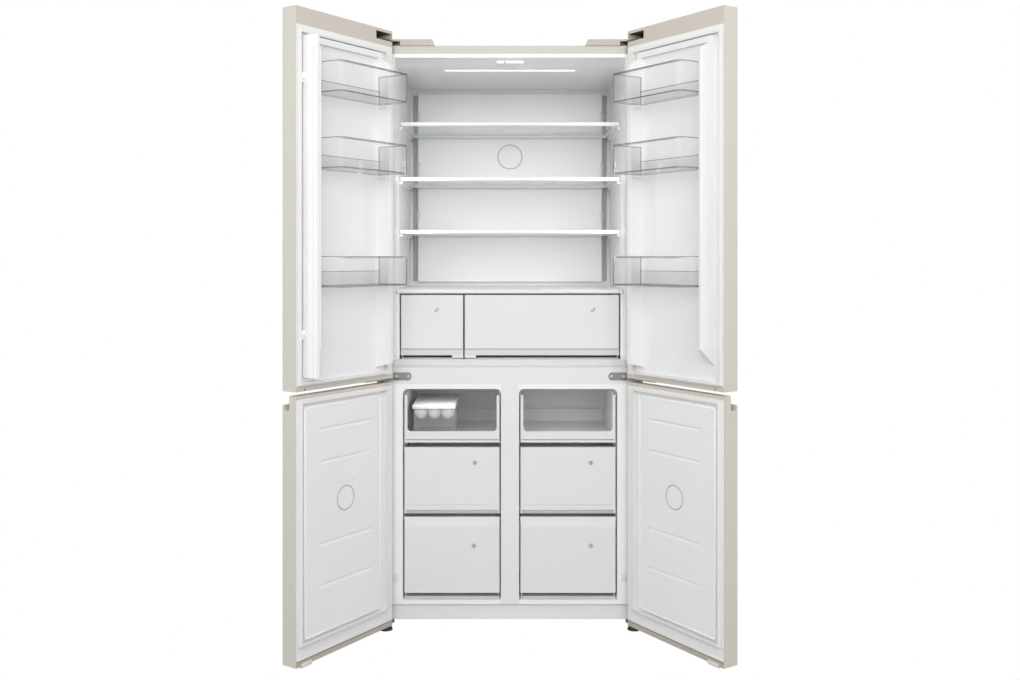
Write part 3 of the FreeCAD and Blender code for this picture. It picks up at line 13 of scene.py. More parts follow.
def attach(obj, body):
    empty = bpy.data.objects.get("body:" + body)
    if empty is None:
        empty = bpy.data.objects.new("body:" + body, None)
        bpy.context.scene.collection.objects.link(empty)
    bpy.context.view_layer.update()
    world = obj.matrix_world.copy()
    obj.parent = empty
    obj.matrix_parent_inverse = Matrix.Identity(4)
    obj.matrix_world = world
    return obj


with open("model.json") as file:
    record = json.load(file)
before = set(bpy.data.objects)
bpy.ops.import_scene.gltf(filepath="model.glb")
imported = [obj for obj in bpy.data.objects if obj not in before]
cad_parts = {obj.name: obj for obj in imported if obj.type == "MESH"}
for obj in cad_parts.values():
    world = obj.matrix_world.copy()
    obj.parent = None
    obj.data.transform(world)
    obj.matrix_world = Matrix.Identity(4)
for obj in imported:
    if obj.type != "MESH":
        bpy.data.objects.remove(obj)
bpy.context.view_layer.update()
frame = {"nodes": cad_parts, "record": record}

LOG = logging.getLogger("refrigerator")
Trio = tuple[float, float, float]

MM = 0.001
# The cabinet's front plane in the frame, in metres; pieces are placed from it in millimetres.
FRONT_Y = -0.0957914
AT_FRONT = Matrix.Translation((0, FRONT_Y, 0))
# Turns that lay an upright cylinder along Y and along X.
ALONG_Y = (math.pi / 2, 0, 0)
ALONG_X = (0, math.pi / 2, 0)
SMOOTH_BELOW = math.radians(35)

# Sockets of the colour Mix node, which share their names with those of its other types.
MIX_FACTOR, MIX_A, MIX_B, MIX_RESULT = 0, 6, 7, 2
# How sharply a clear wall thickens towards the rim of the eye's view.
FACING_BLEND = 0.35
# Cosines of the turn at which a clear wall starts to be an edge and is one.
EDGE_TURN = (0.98, 0.92)
LINE_SAMPLES = 8
EDGE_SAMPLES = 4
# Detail of the noise in patches, gloss and relief.
PATCH_DETAIL, GLOSS_DETAIL, RELIEF_DETAIL = 3.0, 2.0, 1.0
# The gloss varies by this share, in spots this much finer than the colour patches.
GLOSS_SHARE = 0.08
GLOSS_FINER = 3
BRUSH_STRETCH = (0.04, 1.0, 1.0)
RELIEF_HEIGHT = 0.2 * MM
WHITE = (1.0, 1.0, 1.0, 1.0)


def linear(hex_colour: str) -> tuple:
    """Turn an sRGB hex colour into a linear RGBA tuple.

    Args:
        hex_colour: Six hex digits.

    Returns:
        Linear red, green, blue and an alpha of 1.
    """
    parts = [int(hex_colour[i:i + 2], 16) / 255 for i in (0, 2, 4)]
    lin = [c / 12.92 if c <= 0.04045 else ((c + 0.055) / 1.055) ** 2.4 for c in parts]
    return (*lin, 1.0)


def scaled(values: tuple) -> tuple:
    """Turn millimetres into metres.

    Args:
        values: Lengths in millimetres.

    Returns:
        The same lengths in metres.
    """
    return tuple(value * MM for value in values)


def add_node(tree: bpy.types.NodeTree, kind: str, settings: dict | None = None,
             links: dict | None = None) -> bpy.types.Node:
    """Add a node, set its properties and inputs, and link its inputs.

    Args:
        tree: Node tree that takes the node.
        kind: Blender's node type.
        settings: Property names, input names or input numbers, and their values.
        links: Input names or numbers and the sockets that feed them.

    Returns:
        The new node.
    """
    node = tree.nodes.new(kind)
    for key, value in (settings or {}).items():
        if isinstance(key, int) or key in node.inputs:
            node.inputs[key].default_value = value
        else:
            setattr(node, key, value)
    for key, socket in (links or {}).items():
        tree.links.new(socket, node.inputs[key])
    return node


class Grain(Enum):
    """How a surface was made, as the eye sees its relief."""

    ORANGE_PEEL = "sprayed and baked paint"
    STIPPLE = "moulded against a fine-etched tool"
    BRUSHED = "drawn sheet"
    SMOOTH = "polished tool or float glass"


@dataclass(frozen=True)
class Finish:
    """One material of the refrigerator.

    Patch and relief sizes are in millimetres and stand for the spacing of the pattern. The film
    values are the cover of a clear wall seen square on and edge on, and the line values give the
    width and colour of a painted dark reflection along its edges. What lies above high_from, a
    height in metres, has the high colour if there is one; the finishes use this to paint shade on
    one side of that height.
    """

    name: str
    colour: str
    roughness: float
    grain: Grain = Grain.STIPPLE
    ior: float = 1.5
    metallic: float = 0.0
    coat: float = 0.0
    patch_mm: float = 220.0
    patch_share: float = 0.03
    relief_mm: float = 2.0
    relief: float = 0.04
    edge_mm: float = 1.2
    film: float = 1.0
    film_edge: float = 1.0
    reflection_line_mm: float = 0.0
    line_colour: str = ""
    glow: float = 0.0
    high_colour: str = ""
    high_from: float = 0.0


# Powder-smooth baked enamel on steel: even, with a faint orange peel in its gloss.
ENAMEL = Finish("baked_enamel_beige", "D3D0C4", 0.38, Grain.ORANGE_PEEL, coat=0.15, relief_mm=3.0)
# The same enamel on the case, darkened below the doors' colour as painted shade.
SHADED_CASE_ENAMEL = replace(ENAMEL, name="baked_enamel_case", colour="BCB9AD")
# Moulded ABS in the enamel's colour, flatter in its gloss.
CAP_ABS = Finish("moulded_abs_beige", "CEC6BC", 0.48)
# The lower doors' bottom caps get a darker tone below 0.3 m as painted shade; the grips above keep
# the cap colour.
SHADED_LOW_CAP_ABS = replace(CAP_ABS, name="moulded_abs_low_cap", colour="B9B1A6",
                      high_colour=CAP_ABS.colour, high_from=0.3)
# The hinge covers, darker again as painted shade.
SHADED_COVER_ABS = Finish("moulded_abs_cover", "BBB3A8", 0.48)
# Vacuum-formed polystyrene: bright, semi-gloss, a very fine stipple.
LINER_HIPS = Finish("formed_polystyrene_white", "F6F6F6", 0.34, relief_mm=1.6)
# The fridge liner's sill, below 0.8585 m, is darker as painted shade; its walls keep the liner's
# white.
FRIDGE_HIPS_SHADED_SILL = replace(LINER_HIPS, name="formed_polystyrene_fridge", colour="D8D8D8",
                      high_colour=LINER_HIPS.colour, high_from=0.8585)
# The door liners, a trace less bright.
DOOR_HIPS = replace(LINER_HIPS, name="formed_polystyrene_door", colour="EFEFEF")
# White mouldings, from the bright beam to the duller frame; all are even and semi-gloss.
BEAM_ABS = Finish("moulded_abs_beam", "F9F9F9", 0.36)
FRAME_ABS = Finish("moulded_abs_frame", "E8E8E8", 0.36)
DUCT_ABS = Finish("moulded_abs_duct", "F1F1F1", 0.42)
DRAWER_PP = Finish("moulded_polypropylene_drawer", "E6E6E6", 0.32)
KICK_ABS = Finish("moulded_abs_kick", "EAEAEA", 0.4)
# Soft PVC section: matt, rounded at every edge.
GASKET_PVC = Finish("extruded_soft_pvc", "E9E9E8", 0.55, relief_mm=1.0, edge_mm=2.5)
# Toughened float glass, a trace of green in its thickness.
SHELF_GLASS = Finish("toughened_glass", "D5DEDB", 0.03, Grain.SMOOTH, ior=1.52,
                     film=0.12, film_edge=0.5, edge_mm=0.5)
# Clear moulded styrene: glassy, smoke grey where it is seen edge on, with a painted dark reflection
# along its edges.
BIN_STYRENE = Finish("clear_styrene", "D3D6D8", 0.05, Grain.SMOOTH, ior=1.57, film=0.03,
                     film_edge=0.3, reflection_line_mm=4.5, line_colour="1E2224", edge_mm=0.6)
# A dark bead of the same styrene on each bin corner; its dark colour is a painted reflection of the
# clear rounded corner.
BIN_EDGE_REFLECTION = Finish("clear_styrene_edge", "34383A", 0.08, Grain.SMOOTH, ior=1.57)
# Frosted clear box, milky where light scatters in it.
ICE_BOX = Finish("frosted_styrene", "FAFBFC", 0.25, ior=1.57, film=0.1, film_edge=0.45,
                 edge_mm=0.6)
# Matt grey strips and rings of painted shade, for the shadow lines of grooves and lips on the
# faces.
SHADE_LINE_GREY = Finish("painted_shade_line", "A4A6A8", 0.5)
SHADE_RING_GREY = Finish("painted_shade_ring", "B6B7B8", 0.45)
SHADE_LIP_GREY = Finish("painted_shade_lip", "C6C6C6", 0.45)
# A dull brown strip of painted shadow under a liner's flange, on the cap.
CAP_SHADOW_BROWN = Finish("grey_brown_seam", "7A7067", 0.7)
# Milky polypropylene pads that are a trace warmer than the liner.
BUMPER_PP = Finish("moulded_polypropylene_bumper", "E3DFD6", 0.4)
# Dull grey strips of painted shade in the gaps beside the duct panel.
DUCT_GAP_SHADE = Finish("painted_duct_gap_shade", "AAACAE", 0.8)
# Opal lamp cover that shines evenly.
LAMP_OPAL = Finish("opal_diffuser", "FFFFFF", 0.4, Grain.SMOOTH, glow=1.0)
# Zinc-plated pressed steel, drawn grain, dull grey; above 1.6 m the top pair gets a dark brown
# painted shade.
HINGE_ZINC_SHADED_TOP = Finish("zinc_plated_steel", "7C7C7B", 0.42, Grain.BRUSHED, metallic=1.0,
                    relief_mm=0.8, high_colour="3A332D", high_from=1.6)
# Galvanised sheet: grey, with the patches of its spangle.
GALVANISED = Finish("galvanised_sheet", "A9ABAC", 0.45, Grain.BRUSHED, metallic=1.0,
                    patch_mm=25.0, patch_share=0.15)
# Black stove enamel with a faint orange peel.
BLACK_ENAMEL = Finish("black_enamel_steel", "161617", 0.35, Grain.ORANGE_PEEL)
# Bare rolled aluminium, bright and drawn.
FIN_ALUMINIUM = Finish("bare_aluminium_fin", "C9CBCC", 0.35, Grain.BRUSHED, metallic=1.0)
# Black polypropylene, dull from its tool.
BLACK_PP = Finish("moulded_polypropylene_black", "1D1D1E", 0.5)
# Bright zinc flash on small screws.
BRIGHT_ZINC = Finish("bright_zinc_screw", "B9BABA", 0.3, Grain.SMOOTH, metallic=1.0, edge_mm=0.3)
# Duller zinc with a warm cast on the closer plates.
CLOSER_ZINC = Finish("zinc_plated_closer", "9A938B", 0.45, Grain.BRUSHED, metallic=0.8,
                     relief_mm=0.8)
# Small moulded plugs and studs, crisp at their edges.
PLUG_ABS = Finish("moulded_abs_plug", "C6BEB2", 0.5, edge_mm=0.4)
STUD_ABS = Finish("moulded_abs_stud", "B9BBBC", 0.45, edge_mm=0.4)
# Dark brown inside the hinge recess: the hinge steel's own dark with painted shade.
RECESS_SHADE = Finish("painted_recess_shade", "4A4038", 0.6, edge_mm=0.4)
# Flat screen-printed ink.
PRINT_GREY = Finish("screen_printed_ink", "5A5C5E", 0.6, edge_mm=0.1)
# Rigid polyurethane foam: yellowish, dull, with coarse cells.
FOAM_PU = Finish("rigid_foam", "E5DCB4", 0.9, relief_mm=3.0, relief=0.3)

SLOT_FINISH = {
    "beige_enamel": ENAMEL, "beige_plastic": CAP_ABS, "white_liner": LINER_HIPS,
    "white_door_liner": DOOR_HIPS, "white_frame": FRAME_ABS, "white_duct": DUCT_ABS,
    "foam": FOAM_PU, "lamp_diffuser": LAMP_OPAL, "hinge_steel": HINGE_ZINC_SHADED_TOP,
    "base_steel": GALVANISED, "kick_plastic": KICK_ABS, "black_steel": BLACK_ENAMEL,
    "rear_steel": GALVANISED, "evaporator_aluminium": FIN_ALUMINIUM, "fan_plastic": BLACK_PP,
    "beam_plastic": BEAM_ABS, "roller_plastic": BLACK_PP, "foot_plastic": BLACK_PP,
    "cover_plastic": FRAME_ABS, "white_gasket": GASKET_PVC, "shelf_glass": SHELF_GLASS,
    "shelf_trim": FRAME_ABS, "clear_bin": BIN_STYRENE, "white_drawer": DRAWER_PP,
}
# Nodes that get painted shade, darker than the rest of their slot.
NODE_FINISH = {
    "outer_case": SHADED_CASE_ENAMEL, "hinge_covers": SHADED_COVER_ABS, "fridge_liner": FRIDGE_HIPS_SHADED_SILL,
    "lower_left_caps": SHADED_LOW_CAP_ABS, "lower_right_caps": SHADED_LOW_CAP_ABS,
}


@dataclass
class Recipe:
    """Makes the material of one finish."""

    finish: Finish
    tree: bpy.types.NodeTree = field(init=False)
    coords: bpy.types.NodeSocket = field(init=False)
    shader: bpy.types.Node = field(init=False)

    def material(self) -> bpy.types.Material:
        """Build the node material.

        Returns:
            The finished material.
        """
        finish = self.finish
        material = bpy.data.materials.new(finish.name)
        material.use_nodes = True
        self.tree = material.node_tree
        self.tree.nodes.clear()
        self.coords = add_node(self.tree, "ShaderNodeTexCoord").outputs["Object"]
        self.shader = add_node(self.tree, "ShaderNodeBsdfPrincipled", {
            "Metallic": finish.metallic, "IOR": finish.ior, "Coat Weight": finish.coat,
            "Emission Color": linear(finish.colour), "Emission Strength": finish.glow})
        self.paint_colour()
        self.paint_gloss()
        self.raise_relief()
        if finish.film < 1.0:
            self.thin_out()
        add_node(self.tree, "ShaderNodeOutputMaterial",
                 links={"Surface": self.shader.outputs["BSDF"]})
        return material

    def feed(self, name: str, socket: bpy.types.NodeSocket) -> None:
        """Link a socket to the shader.

        Args:
            name: Input of the shader.
            socket: What feeds it.
        """
        self.tree.links.new(socket, self.shader.inputs[name])

    def paint_colour(self) -> None:
        """Vary the colour in large soft patches."""
        finish = self.finish
        base = linear(finish.colour)
        dark = tuple(c * (1 - finish.patch_share) for c in base[:3]) + (1.0,)
        noise = add_node(self.tree, "ShaderNodeTexNoise",
                         {"Scale": 1 / (finish.patch_mm * MM), "Detail": PATCH_DETAIL},
                         {"Vector": self.coords})
        mix = add_node(self.tree, "ShaderNodeMix", {"data_type": "RGBA", MIX_A: dark, MIX_B: base},
                       {MIX_FACTOR: noise.outputs["Fac"]})
        colour = mix.outputs[MIX_RESULT]
        if finish.high_colour:
            colour = self.tone_by_height(colour)
        self.feed("Base Color", colour)

    def tone_by_height(self, low: bpy.types.NodeSocket) -> bpy.types.NodeSocket:
        """Give the pieces above a level their own colour.

        Args:
            low: Colour below the level.

        Returns:
            Colour at every height.
        """
        axes = add_node(self.tree, "ShaderNodeSeparateXYZ", links={"Vector": self.coords})
        above = add_node(self.tree, "ShaderNodeMath",
                         {"operation": "GREATER_THAN", 1: self.finish.high_from},
                         {0: axes.outputs["Z"]})
        mix = add_node(self.tree, "ShaderNodeMix",
                       {"data_type": "RGBA", MIX_B: linear(self.finish.high_colour)},
                       {MIX_FACTOR: above.outputs[0], MIX_A: low})
        return mix.outputs[MIX_RESULT]

    def paint_gloss(self) -> None:
        """Vary the roughness a little, as handling and moulding do."""
        finish = self.finish
        noise = add_node(self.tree, "ShaderNodeTexNoise",
                         {"Scale": GLOSS_FINER / (finish.patch_mm * MM), "Detail": GLOSS_DETAIL},
                         {"Vector": self.coords})
        spread = add_node(self.tree, "ShaderNodeMapRange", {
            "To Min": finish.roughness * (1 - GLOSS_SHARE),
            "To Max": min(1.0, finish.roughness * (1 + GLOSS_SHARE))},
            {"Value": noise.outputs["Fac"]})
        self.feed("Roughness", spread.outputs["Result"])

    def raise_relief(self) -> None:
        """Add the surface relief and softened edges."""
        finish = self.finish
        edge = add_node(self.tree, "ShaderNodeBevel",
                        {"samples": EDGE_SAMPLES, "Radius": finish.edge_mm * MM})
        normal = edge.outputs["Normal"]
        if finish.grain is not Grain.SMOOTH:
            stretch = BRUSH_STRETCH if finish.grain is Grain.BRUSHED else (1.0, 1.0, 1.0)
            mapping = add_node(self.tree, "ShaderNodeMapping", {"Scale": stretch},
                               {"Vector": self.coords})
            noise = add_node(self.tree, "ShaderNodeTexNoise",
                             {"Scale": 1 / (finish.relief_mm * MM), "Detail": RELIEF_DETAIL},
                             {"Vector": mapping.outputs["Vector"]})
            bump = add_node(self.tree, "ShaderNodeBump",
                            {"Strength": finish.relief, "Distance": RELIEF_HEIGHT},
                            {"Height": noise.outputs["Fac"], "Normal": normal})
            normal = bump.outputs["Normal"]
        self.feed("Normal", normal)

    def thin_out(self) -> None:
        """Let the eye through, less so where a wall is seen edge on, and paint a dark reflection
        along the edges where the finish asks for it.
        """
        finish = self.finish
        facing = add_node(self.tree, "ShaderNodeLayerWeight", {"Blend": FACING_BLEND})
        spread = add_node(self.tree, "ShaderNodeMapRange",
                          {"To Min": finish.film, "To Max": finish.film_edge},
                          {"Value": facing.outputs["Facing"]})
        cover = spread.outputs["Result"]
        if finish.reflection_line_mm:
            line = self.painted_edge_reflection()
            solid = add_node(self.tree, "ShaderNodeMath", {"operation": "MAXIMUM"},
                             {0: cover, 1: line})
            cover = solid.outputs[0]
            wall = self.shader.inputs["Base Color"].links[0].from_socket
            mix = add_node(self.tree, "ShaderNodeMix",
                           {"data_type": "RGBA", MIX_B: linear(finish.line_colour)},
                           {MIX_FACTOR: line, MIX_A: wall})
            self.feed("Base Color", mix.outputs[MIX_RESULT])
        self.feed("Alpha", cover)

    def painted_edge_reflection(self) -> bpy.types.NodeSocket:
        """Find the edges of a clear moulding, where a dark reflection is painted.

        Returns:
            Socket that is 1 on an edge and 0 on a wall.
        """
        rim = add_node(self.tree, "ShaderNodeBevel",
                       {"samples": LINE_SAMPLES, "Radius": self.finish.reflection_line_mm * MM})
        flat = add_node(self.tree, "ShaderNodeNewGeometry")
        along = add_node(self.tree, "ShaderNodeVectorMath", {"operation": "DOT_PRODUCT"},
                         {0: rim.outputs["Normal"], 1: flat.outputs["True Normal"]})
        turn = add_node(self.tree, "ShaderNodeMath", {"operation": "ABSOLUTE"},
                        {0: along.outputs["Value"]})
        line = add_node(self.tree, "ShaderNodeMapRange",
                        {"From Min": EDGE_TURN[0], "From Max": EDGE_TURN[1]},
                        {"Value": turn.outputs[0]})
        return line.outputs["Result"]


@dataclass
class Wardrobe:
    """Makes each finish once and hands it out."""

    made: dict = field(default_factory=dict)

    def of(self, finish: Finish) -> bpy.types.Material:
        """Return the material of a finish, making it at first use.

        Args:
            finish: Finish to look up.

        Returns:
            Its material.
        """
        if finish.name not in self.made:
            self.made[finish.name] = Recipe(finish).material()
        return self.made[finish.name]

    def dress_frame(self) -> None:
        """Give every CAD node its own material or that of its slot."""
        for part in frame["record"]["subparts"]:
            node = frame["nodes"][part["node"]]
            finish = NODE_FINISH.get(part["node"], SLOT_FINISH[part["material_slot"]])
            material = self.of(finish)
            if not node.material_slots:
                node.data.materials.append(material)
            for slot in node.material_slots:
                slot.material = material


class Side(Enum):
    """Left or right half of the refrigerator, seen from the front."""

    LEFT = -1
    RIGHT = 1

    @property
    def word(self) -> str:
        """Name of the side in body names."""
        return self.name.lower()

    def mirror(self, spot: Trio) -> Trio:
        """Put a place of the right half on this side.

        Args:
            spot: Place on the right half.

        Returns:
            The place on this side.
        """
        return (self.value * spot[0], spot[1], spot[2])


@dataclass(frozen=True)
class DoorPlace:
    """Turns places in a closed door into places on the open one.

    s runs from the hinge axis to the free edge and d from the axis towards the back, both in
    millimetres.
    """

    side: Side
    pivot: tuple = (396.5, -36.0)
    open_deg: float = 123.5

    def matrix(self) -> Matrix:
        """Find the place of the open door's own axes.

        Returns:
            Matrix from (s, d, z) in metres to the frame.
        """
        axis = Matrix.Translation((-self.pivot[0] * MM, self.pivot[1] * MM, 0))
        left = AT_FRONT @ axis @ Matrix.Rotation(-math.radians(self.open_deg), 4, "Z")
        if self.side is Side.RIGHT:
            return Matrix.Diagonal((-1, 1, 1, 1)) @ left
        return left


class Bench:
    """Models pieces with Blender's own tools, in metres."""

    @staticmethod
    def clear() -> None:
        """Leave nothing selected."""
        bpy.ops.object.select_all(action="DESELECT")

    @staticmethod
    def only(piece: bpy.types.Object) -> None:
        """Select one object and make it active.

        Args:
            piece: Object to work on.
        """
        Bench.clear()
        piece.select_set(True)
        bpy.context.view_layer.objects.active = piece

    @staticmethod
    def settled() -> bpy.types.Object:
        """Put the active object's place, turn and scale into its mesh.

        Returns:
            The active object.
        """
        bpy.ops.object.transform_apply(location=True, rotation=True, scale=True)
        return bpy.context.object

    @staticmethod
    def block(size: Trio, centre: Trio, turn: Trio = (0, 0, 0)) -> bpy.types.Object:
        """Add a box.

        Args:
            size: Edge lengths.
            centre: Its middle.
            turn: Euler angles in radians.

        Returns:
            The box with its size and place in its mesh.
        """
        Bench.clear()
        bpy.ops.mesh.primitive_cube_add(size=1.0, location=centre, rotation=turn)
        bpy.context.object.scale = size
        return Bench.settled()

    @staticmethod
    def round_bar(radius: float, depth: float, centre: Trio, turn: Trio = (0, 0, 0),
                  sides: int = 40) -> bpy.types.Object:
        """Add a cylinder.

        Args:
            radius: Its radius.
            depth: Its length.
            centre: Its middle.
            turn: Euler angles in radians.
            sides: Count of side faces.

        Returns:
            The cylinder with its place in its mesh.
        """
        Bench.clear()
        bpy.ops.mesh.primitive_cylinder_add(vertices=sides, radius=radius, depth=depth,
                                            location=centre, rotation=turn)
        return Bench.settled()

    @staticmethod
    def bowl(radii: Trio, rim: Trio) -> bpy.types.Object:
        """Add the lower half of a ball, closed at its rim.

        Args:
            radii: Half widths and depth.
            rim: Middle of the rim.

        Returns:
            The bowl with its place in its mesh.
        """
        Bench.clear()
        bpy.ops.mesh.primitive_uv_sphere_add(segments=24, ring_count=14, radius=1.0, location=rim)
        bpy.context.object.scale = radii
        bowl = Bench.settled()
        Bench.trim(bowl, rim, (0, 0, 1), fill=True)
        return bowl

    @staticmethod
    def trim(piece: bpy.types.Object, spot: Trio, normal: Trio, fill: bool = False) -> None:
        """Cut a piece at a plane and drop what lies beyond it.

        Args:
            piece: Object that is cut.
            spot: Point of the plane.
            normal: Direction in which the mesh is dropped.
            fill: Whether the cut is closed.
        """
        Bench.only(piece)
        bpy.ops.object.mode_set(mode="EDIT")
        bpy.ops.mesh.select_mode(type="FACE")
        bpy.ops.mesh.select_all(action="SELECT")
        bpy.ops.mesh.bisect(plane_co=spot, plane_no=normal, use_fill=fill, clear_outer=True)
        bpy.ops.object.mode_set(mode="OBJECT")

    @staticmethod
    def thicken(piece: bpy.types.Object, thickness: float) -> None:
        """Give an open shell its wall.

        Args:
            piece: Object to thicken.
            thickness: Thickness of the wall.
        """
        Bench.only(piece)
        wall = piece.modifiers.new("wall", "SOLIDIFY")
        wall.thickness = thickness
        bpy.ops.object.modifier_apply(modifier=wall.name)

    @staticmethod
    def soften(piece: bpy.types.Object, width: float, steps: int = 3) -> None:
        """Round the edges of a piece.

        Args:
            piece: Object to round.
            width: Width of the round.
            steps: Count of steps across it.
        """
        Bench.only(piece)
        bevel = piece.modifiers.new("soft_edges", "BEVEL")
        bevel.width = width
        bevel.segments = steps
        bevel.limit_method = "ANGLE"
        bpy.ops.object.modifier_apply(modifier=bevel.name)

    @staticmethod
    def carve(piece: bpy.types.Object, cutter: bpy.types.Object) -> None:
        """Cut one object out of another and remove the cutter.

        Args:
            piece: Object that is cut.
            cutter: Object that is taken away.
        """
        Bench.only(piece)
        hollow = piece.modifiers.new("carved", "BOOLEAN")
        hollow.operation = "DIFFERENCE"
        hollow.object = cutter
        bpy.ops.object.modifier_apply(modifier=hollow.name)
        bpy.data.objects.remove(cutter, do_unlink=True)

    @staticmethod
    def joined(pieces: list) -> bpy.types.Object:
        """Join objects into the first.

        Args:
            pieces: Objects to join.

        Returns:
            The joined object.
        """
        Bench.clear()
        for piece in pieces:
            piece.select_set(True)
        bpy.context.view_layer.objects.active = pieces[0]
        bpy.ops.object.join()
        return bpy.context.object


@dataclass(frozen=True)
class Shape:
    """A simple shape in millimetres, placed by its middle."""

    centre: Trio

    def on(self, side: Side) -> "Shape":
        """Give the same shape on one side.

        Args:
            side: Half that takes it.

        Returns:
            The shape with its place mirrored if need be.
        """
        return replace(self, centre=side.mirror(self.centre))

    def model(self) -> bpy.types.Object:
        """Model the shape.

        Returns:
            The modelled object.
        """
        raise NotImplementedError


@dataclass(frozen=True)
class Pad(Shape):
    """Block with rounded edges."""

    size: Trio
    soft: float
    steps: int = 3

    def model(self) -> bpy.types.Object:
        """Model the block.

        Returns:
            The block.
        """
        block = Bench.block(scaled(self.size), scaled(self.centre))
        Bench.soften(block, self.soft * MM, self.steps)
        return block


@dataclass(frozen=True)
class Rod(Shape):
    """Round bar, with rounded ends where soft is set."""

    radius: float
    length: float
    soft: float = 0.0
    turn: Trio = (0, 0, 0)
    sides: int = 40

    def model(self) -> bpy.types.Object:
        """Model the bar.

        Returns:
            The bar.
        """
        bar = Bench.round_bar(self.radius * MM, self.length * MM, scaled(self.centre),
                              self.turn, self.sides)
        if self.soft:
            Bench.soften(bar, self.soft * MM)
        return bar


@dataclass(frozen=True)
class Hoop(Shape):
    """Ring of round wire that faces along Y."""

    radius: float
    wire: float

    def model(self) -> bpy.types.Object:
        """Model the ring.

        Returns:
            The ring.
        """
        Bench.clear()
        bpy.ops.mesh.primitive_torus_add(
            major_radius=self.radius * MM, minor_radius=self.wire * MM, major_segments=72,
            minor_segments=12, location=scaled(self.centre), rotation=ALONG_Y)
        return Bench.settled()


@dataclass
class Maker:
    """Hands a modelled piece over to its body."""

    wardrobe: Wardrobe

    def deliver(self, piece: bpy.types.Object, place: Matrix, name: str, body: str, slot: str,
                finish: Finish) -> None:
        """Place, smooth, name, dress and seat a piece, with its faces kept outward.

        Args:
            piece: Modelled object.
            place: Where its mesh goes.
            name: Piece name.
            body: Body that carries it.
            slot: Material slot of the record; not used.
            finish: Its finish.
        """
        piece.data.transform(place)
        if place.determinant() < 0:
            piece.data.flip_normals()
        Bench.only(piece)
        bpy.ops.object.shade_smooth_by_angle(angle=SMOOTH_BELOW)
        piece.name = name
        piece.data.name = name
        piece.data.materials.clear()
        piece.data.materials.append(self.wardrobe.of(finish))
        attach(piece, body)
        LOG.info("%s rides on %s", name, body)


@dataclass
class CrossScrew:
    """Pan-head screw with a cross recess; the shares are of its radius or rise."""

    radius: float = 4.2 * MM
    rise: float = 1.8 * MM
    round_share: float = 0.45
    recess_length: float = 1.1
    recess_width: float = 0.26

    def head(self) -> bpy.types.Object:
        """Model the head with its seat at the origin, facing -Y.

        Returns:
            The head.
        """
        head = Bench.round_bar(self.radius, self.rise, (0, -self.rise / 2, 0), ALONG_Y)
        Bench.soften(head, self.rise * self.round_share)
        size = (self.radius * self.recess_length, self.rise, self.radius * self.recess_width)
        for turn in (0, math.pi / 2):
            Bench.carve(head, Bench.block(size, (0, -self.rise, 0), (0, turn, 0)))
        return head


@dataclass
class CabinetFittings:
    """Screws, plugs and trim of the cabinet, in millimetres from its front plane."""

    maker: Maker
    mid_screws: tuple = ((356.0, -3.0, 809.0), (318.0, -3.0, 809.0))
    rear_columns: tuple = (-400.0, 0.0, 400.0)
    rear_levels: tuple = (80.0, 258.0)
    case_depth: float = 590.0
    cover_plug: Rod = Rod((269.7, -3.4, 1854.0), 4.5, 0.8, 0.3, ALONG_Y)
    guide_face: Pad = Pad((0.0, 29.2, 1800.5), (86.0, 16.0, 15.0), 3.0, 5)
    guide_stud: Rod = Rod((-16.0, 20.6, 1797.0), 3.2, 1.2, 0.5, ALONG_Y)
    frame_plate: Pad = Pad((357.0, -0.4, 177.0), (17.0, 0.8, 25.0), 0.35)
    # A grey ring of painted shade in the duct cover's ring groove.
    duct_shade_ring: Hoop = Hoop((0.0, 516.2, 1545.0), 43.5, 0.9)
    # Grey strip of painted shade in each gap beside the duct panel.
    duct_seal: Pad = Pad((344.0, 523.0, 1432.0), (12.0, 10.0, 672.0), 2.0)

    def build(self) -> None:
        """Make all fittings."""
        self.hinge_screws()
        for side in Side:
            plug = self.cover_plug.on(side)
            self.seat(plug, f"cover_plug_{side.word}", "beige_plastic", PLUG_ABS)
        self.rear_fixings()
        self.seat(self.guide_face, "beam_guide_face", "white_liner", BEAM_ABS)
        self.seat(self.guide_stud, "beam_guide_stud", "white_liner", STUD_ABS)
        for side in Side:
            plate = self.frame_plate.on(side)
            self.seat(plate, f"frame_plug_{side.word}", "white_frame", FRAME_ABS)
        self.seat(self.duct_shade_ring, "duct_shade_ring", "white_liner", SHADE_RING_GREY)
        for side in Side:
            gap_shade = self.duct_seal.on(side)
            self.seat(gap_shade, f"duct_seal_{side.word}", "white_liner", DUCT_GAP_SHADE)

    def seat(self, shape: Shape, name: str, slot: str, finish: Finish) -> None:
        """Model a shape and seat it in the cabinet.

        Args:
            shape: What to model.
            name: Piece name.
            slot: Material slot.
            finish: Its finish.
        """
        self.maker.deliver(shape.model(), AT_FRONT, name, "cabinet", slot, finish)

    def hinge_screws(self) -> None:
        """Drive two screws in each middle hinge plate."""
        for side in Side:
            for number, spot in enumerate(self.mid_screws):
                place = AT_FRONT @ Matrix.Translation(scaled(side.mirror(spot)))
                self.maker.deliver(CrossScrew().head(), place,
                                   f"mid_hinge_screw_{side.word}_{number}", "cabinet",
                                   "hinge_steel", BRIGHT_ZINC)

    def rear_fixings(self) -> None:
        """Drive the screws along the edges of the rear cover."""
        for x in self.rear_columns:
            for level in self.rear_levels:
                spot = Matrix.Translation(scaled((x, self.case_depth, level)))
                place = AT_FRONT @ spot @ Matrix.Rotation(math.pi, 4, "Z")
                self.maker.deliver(CrossScrew().head(), place, f"rear_screw_{x:.0f}_{level:.0f}",
                                   "cabinet", "rear_steel", BRIGHT_ZINC)


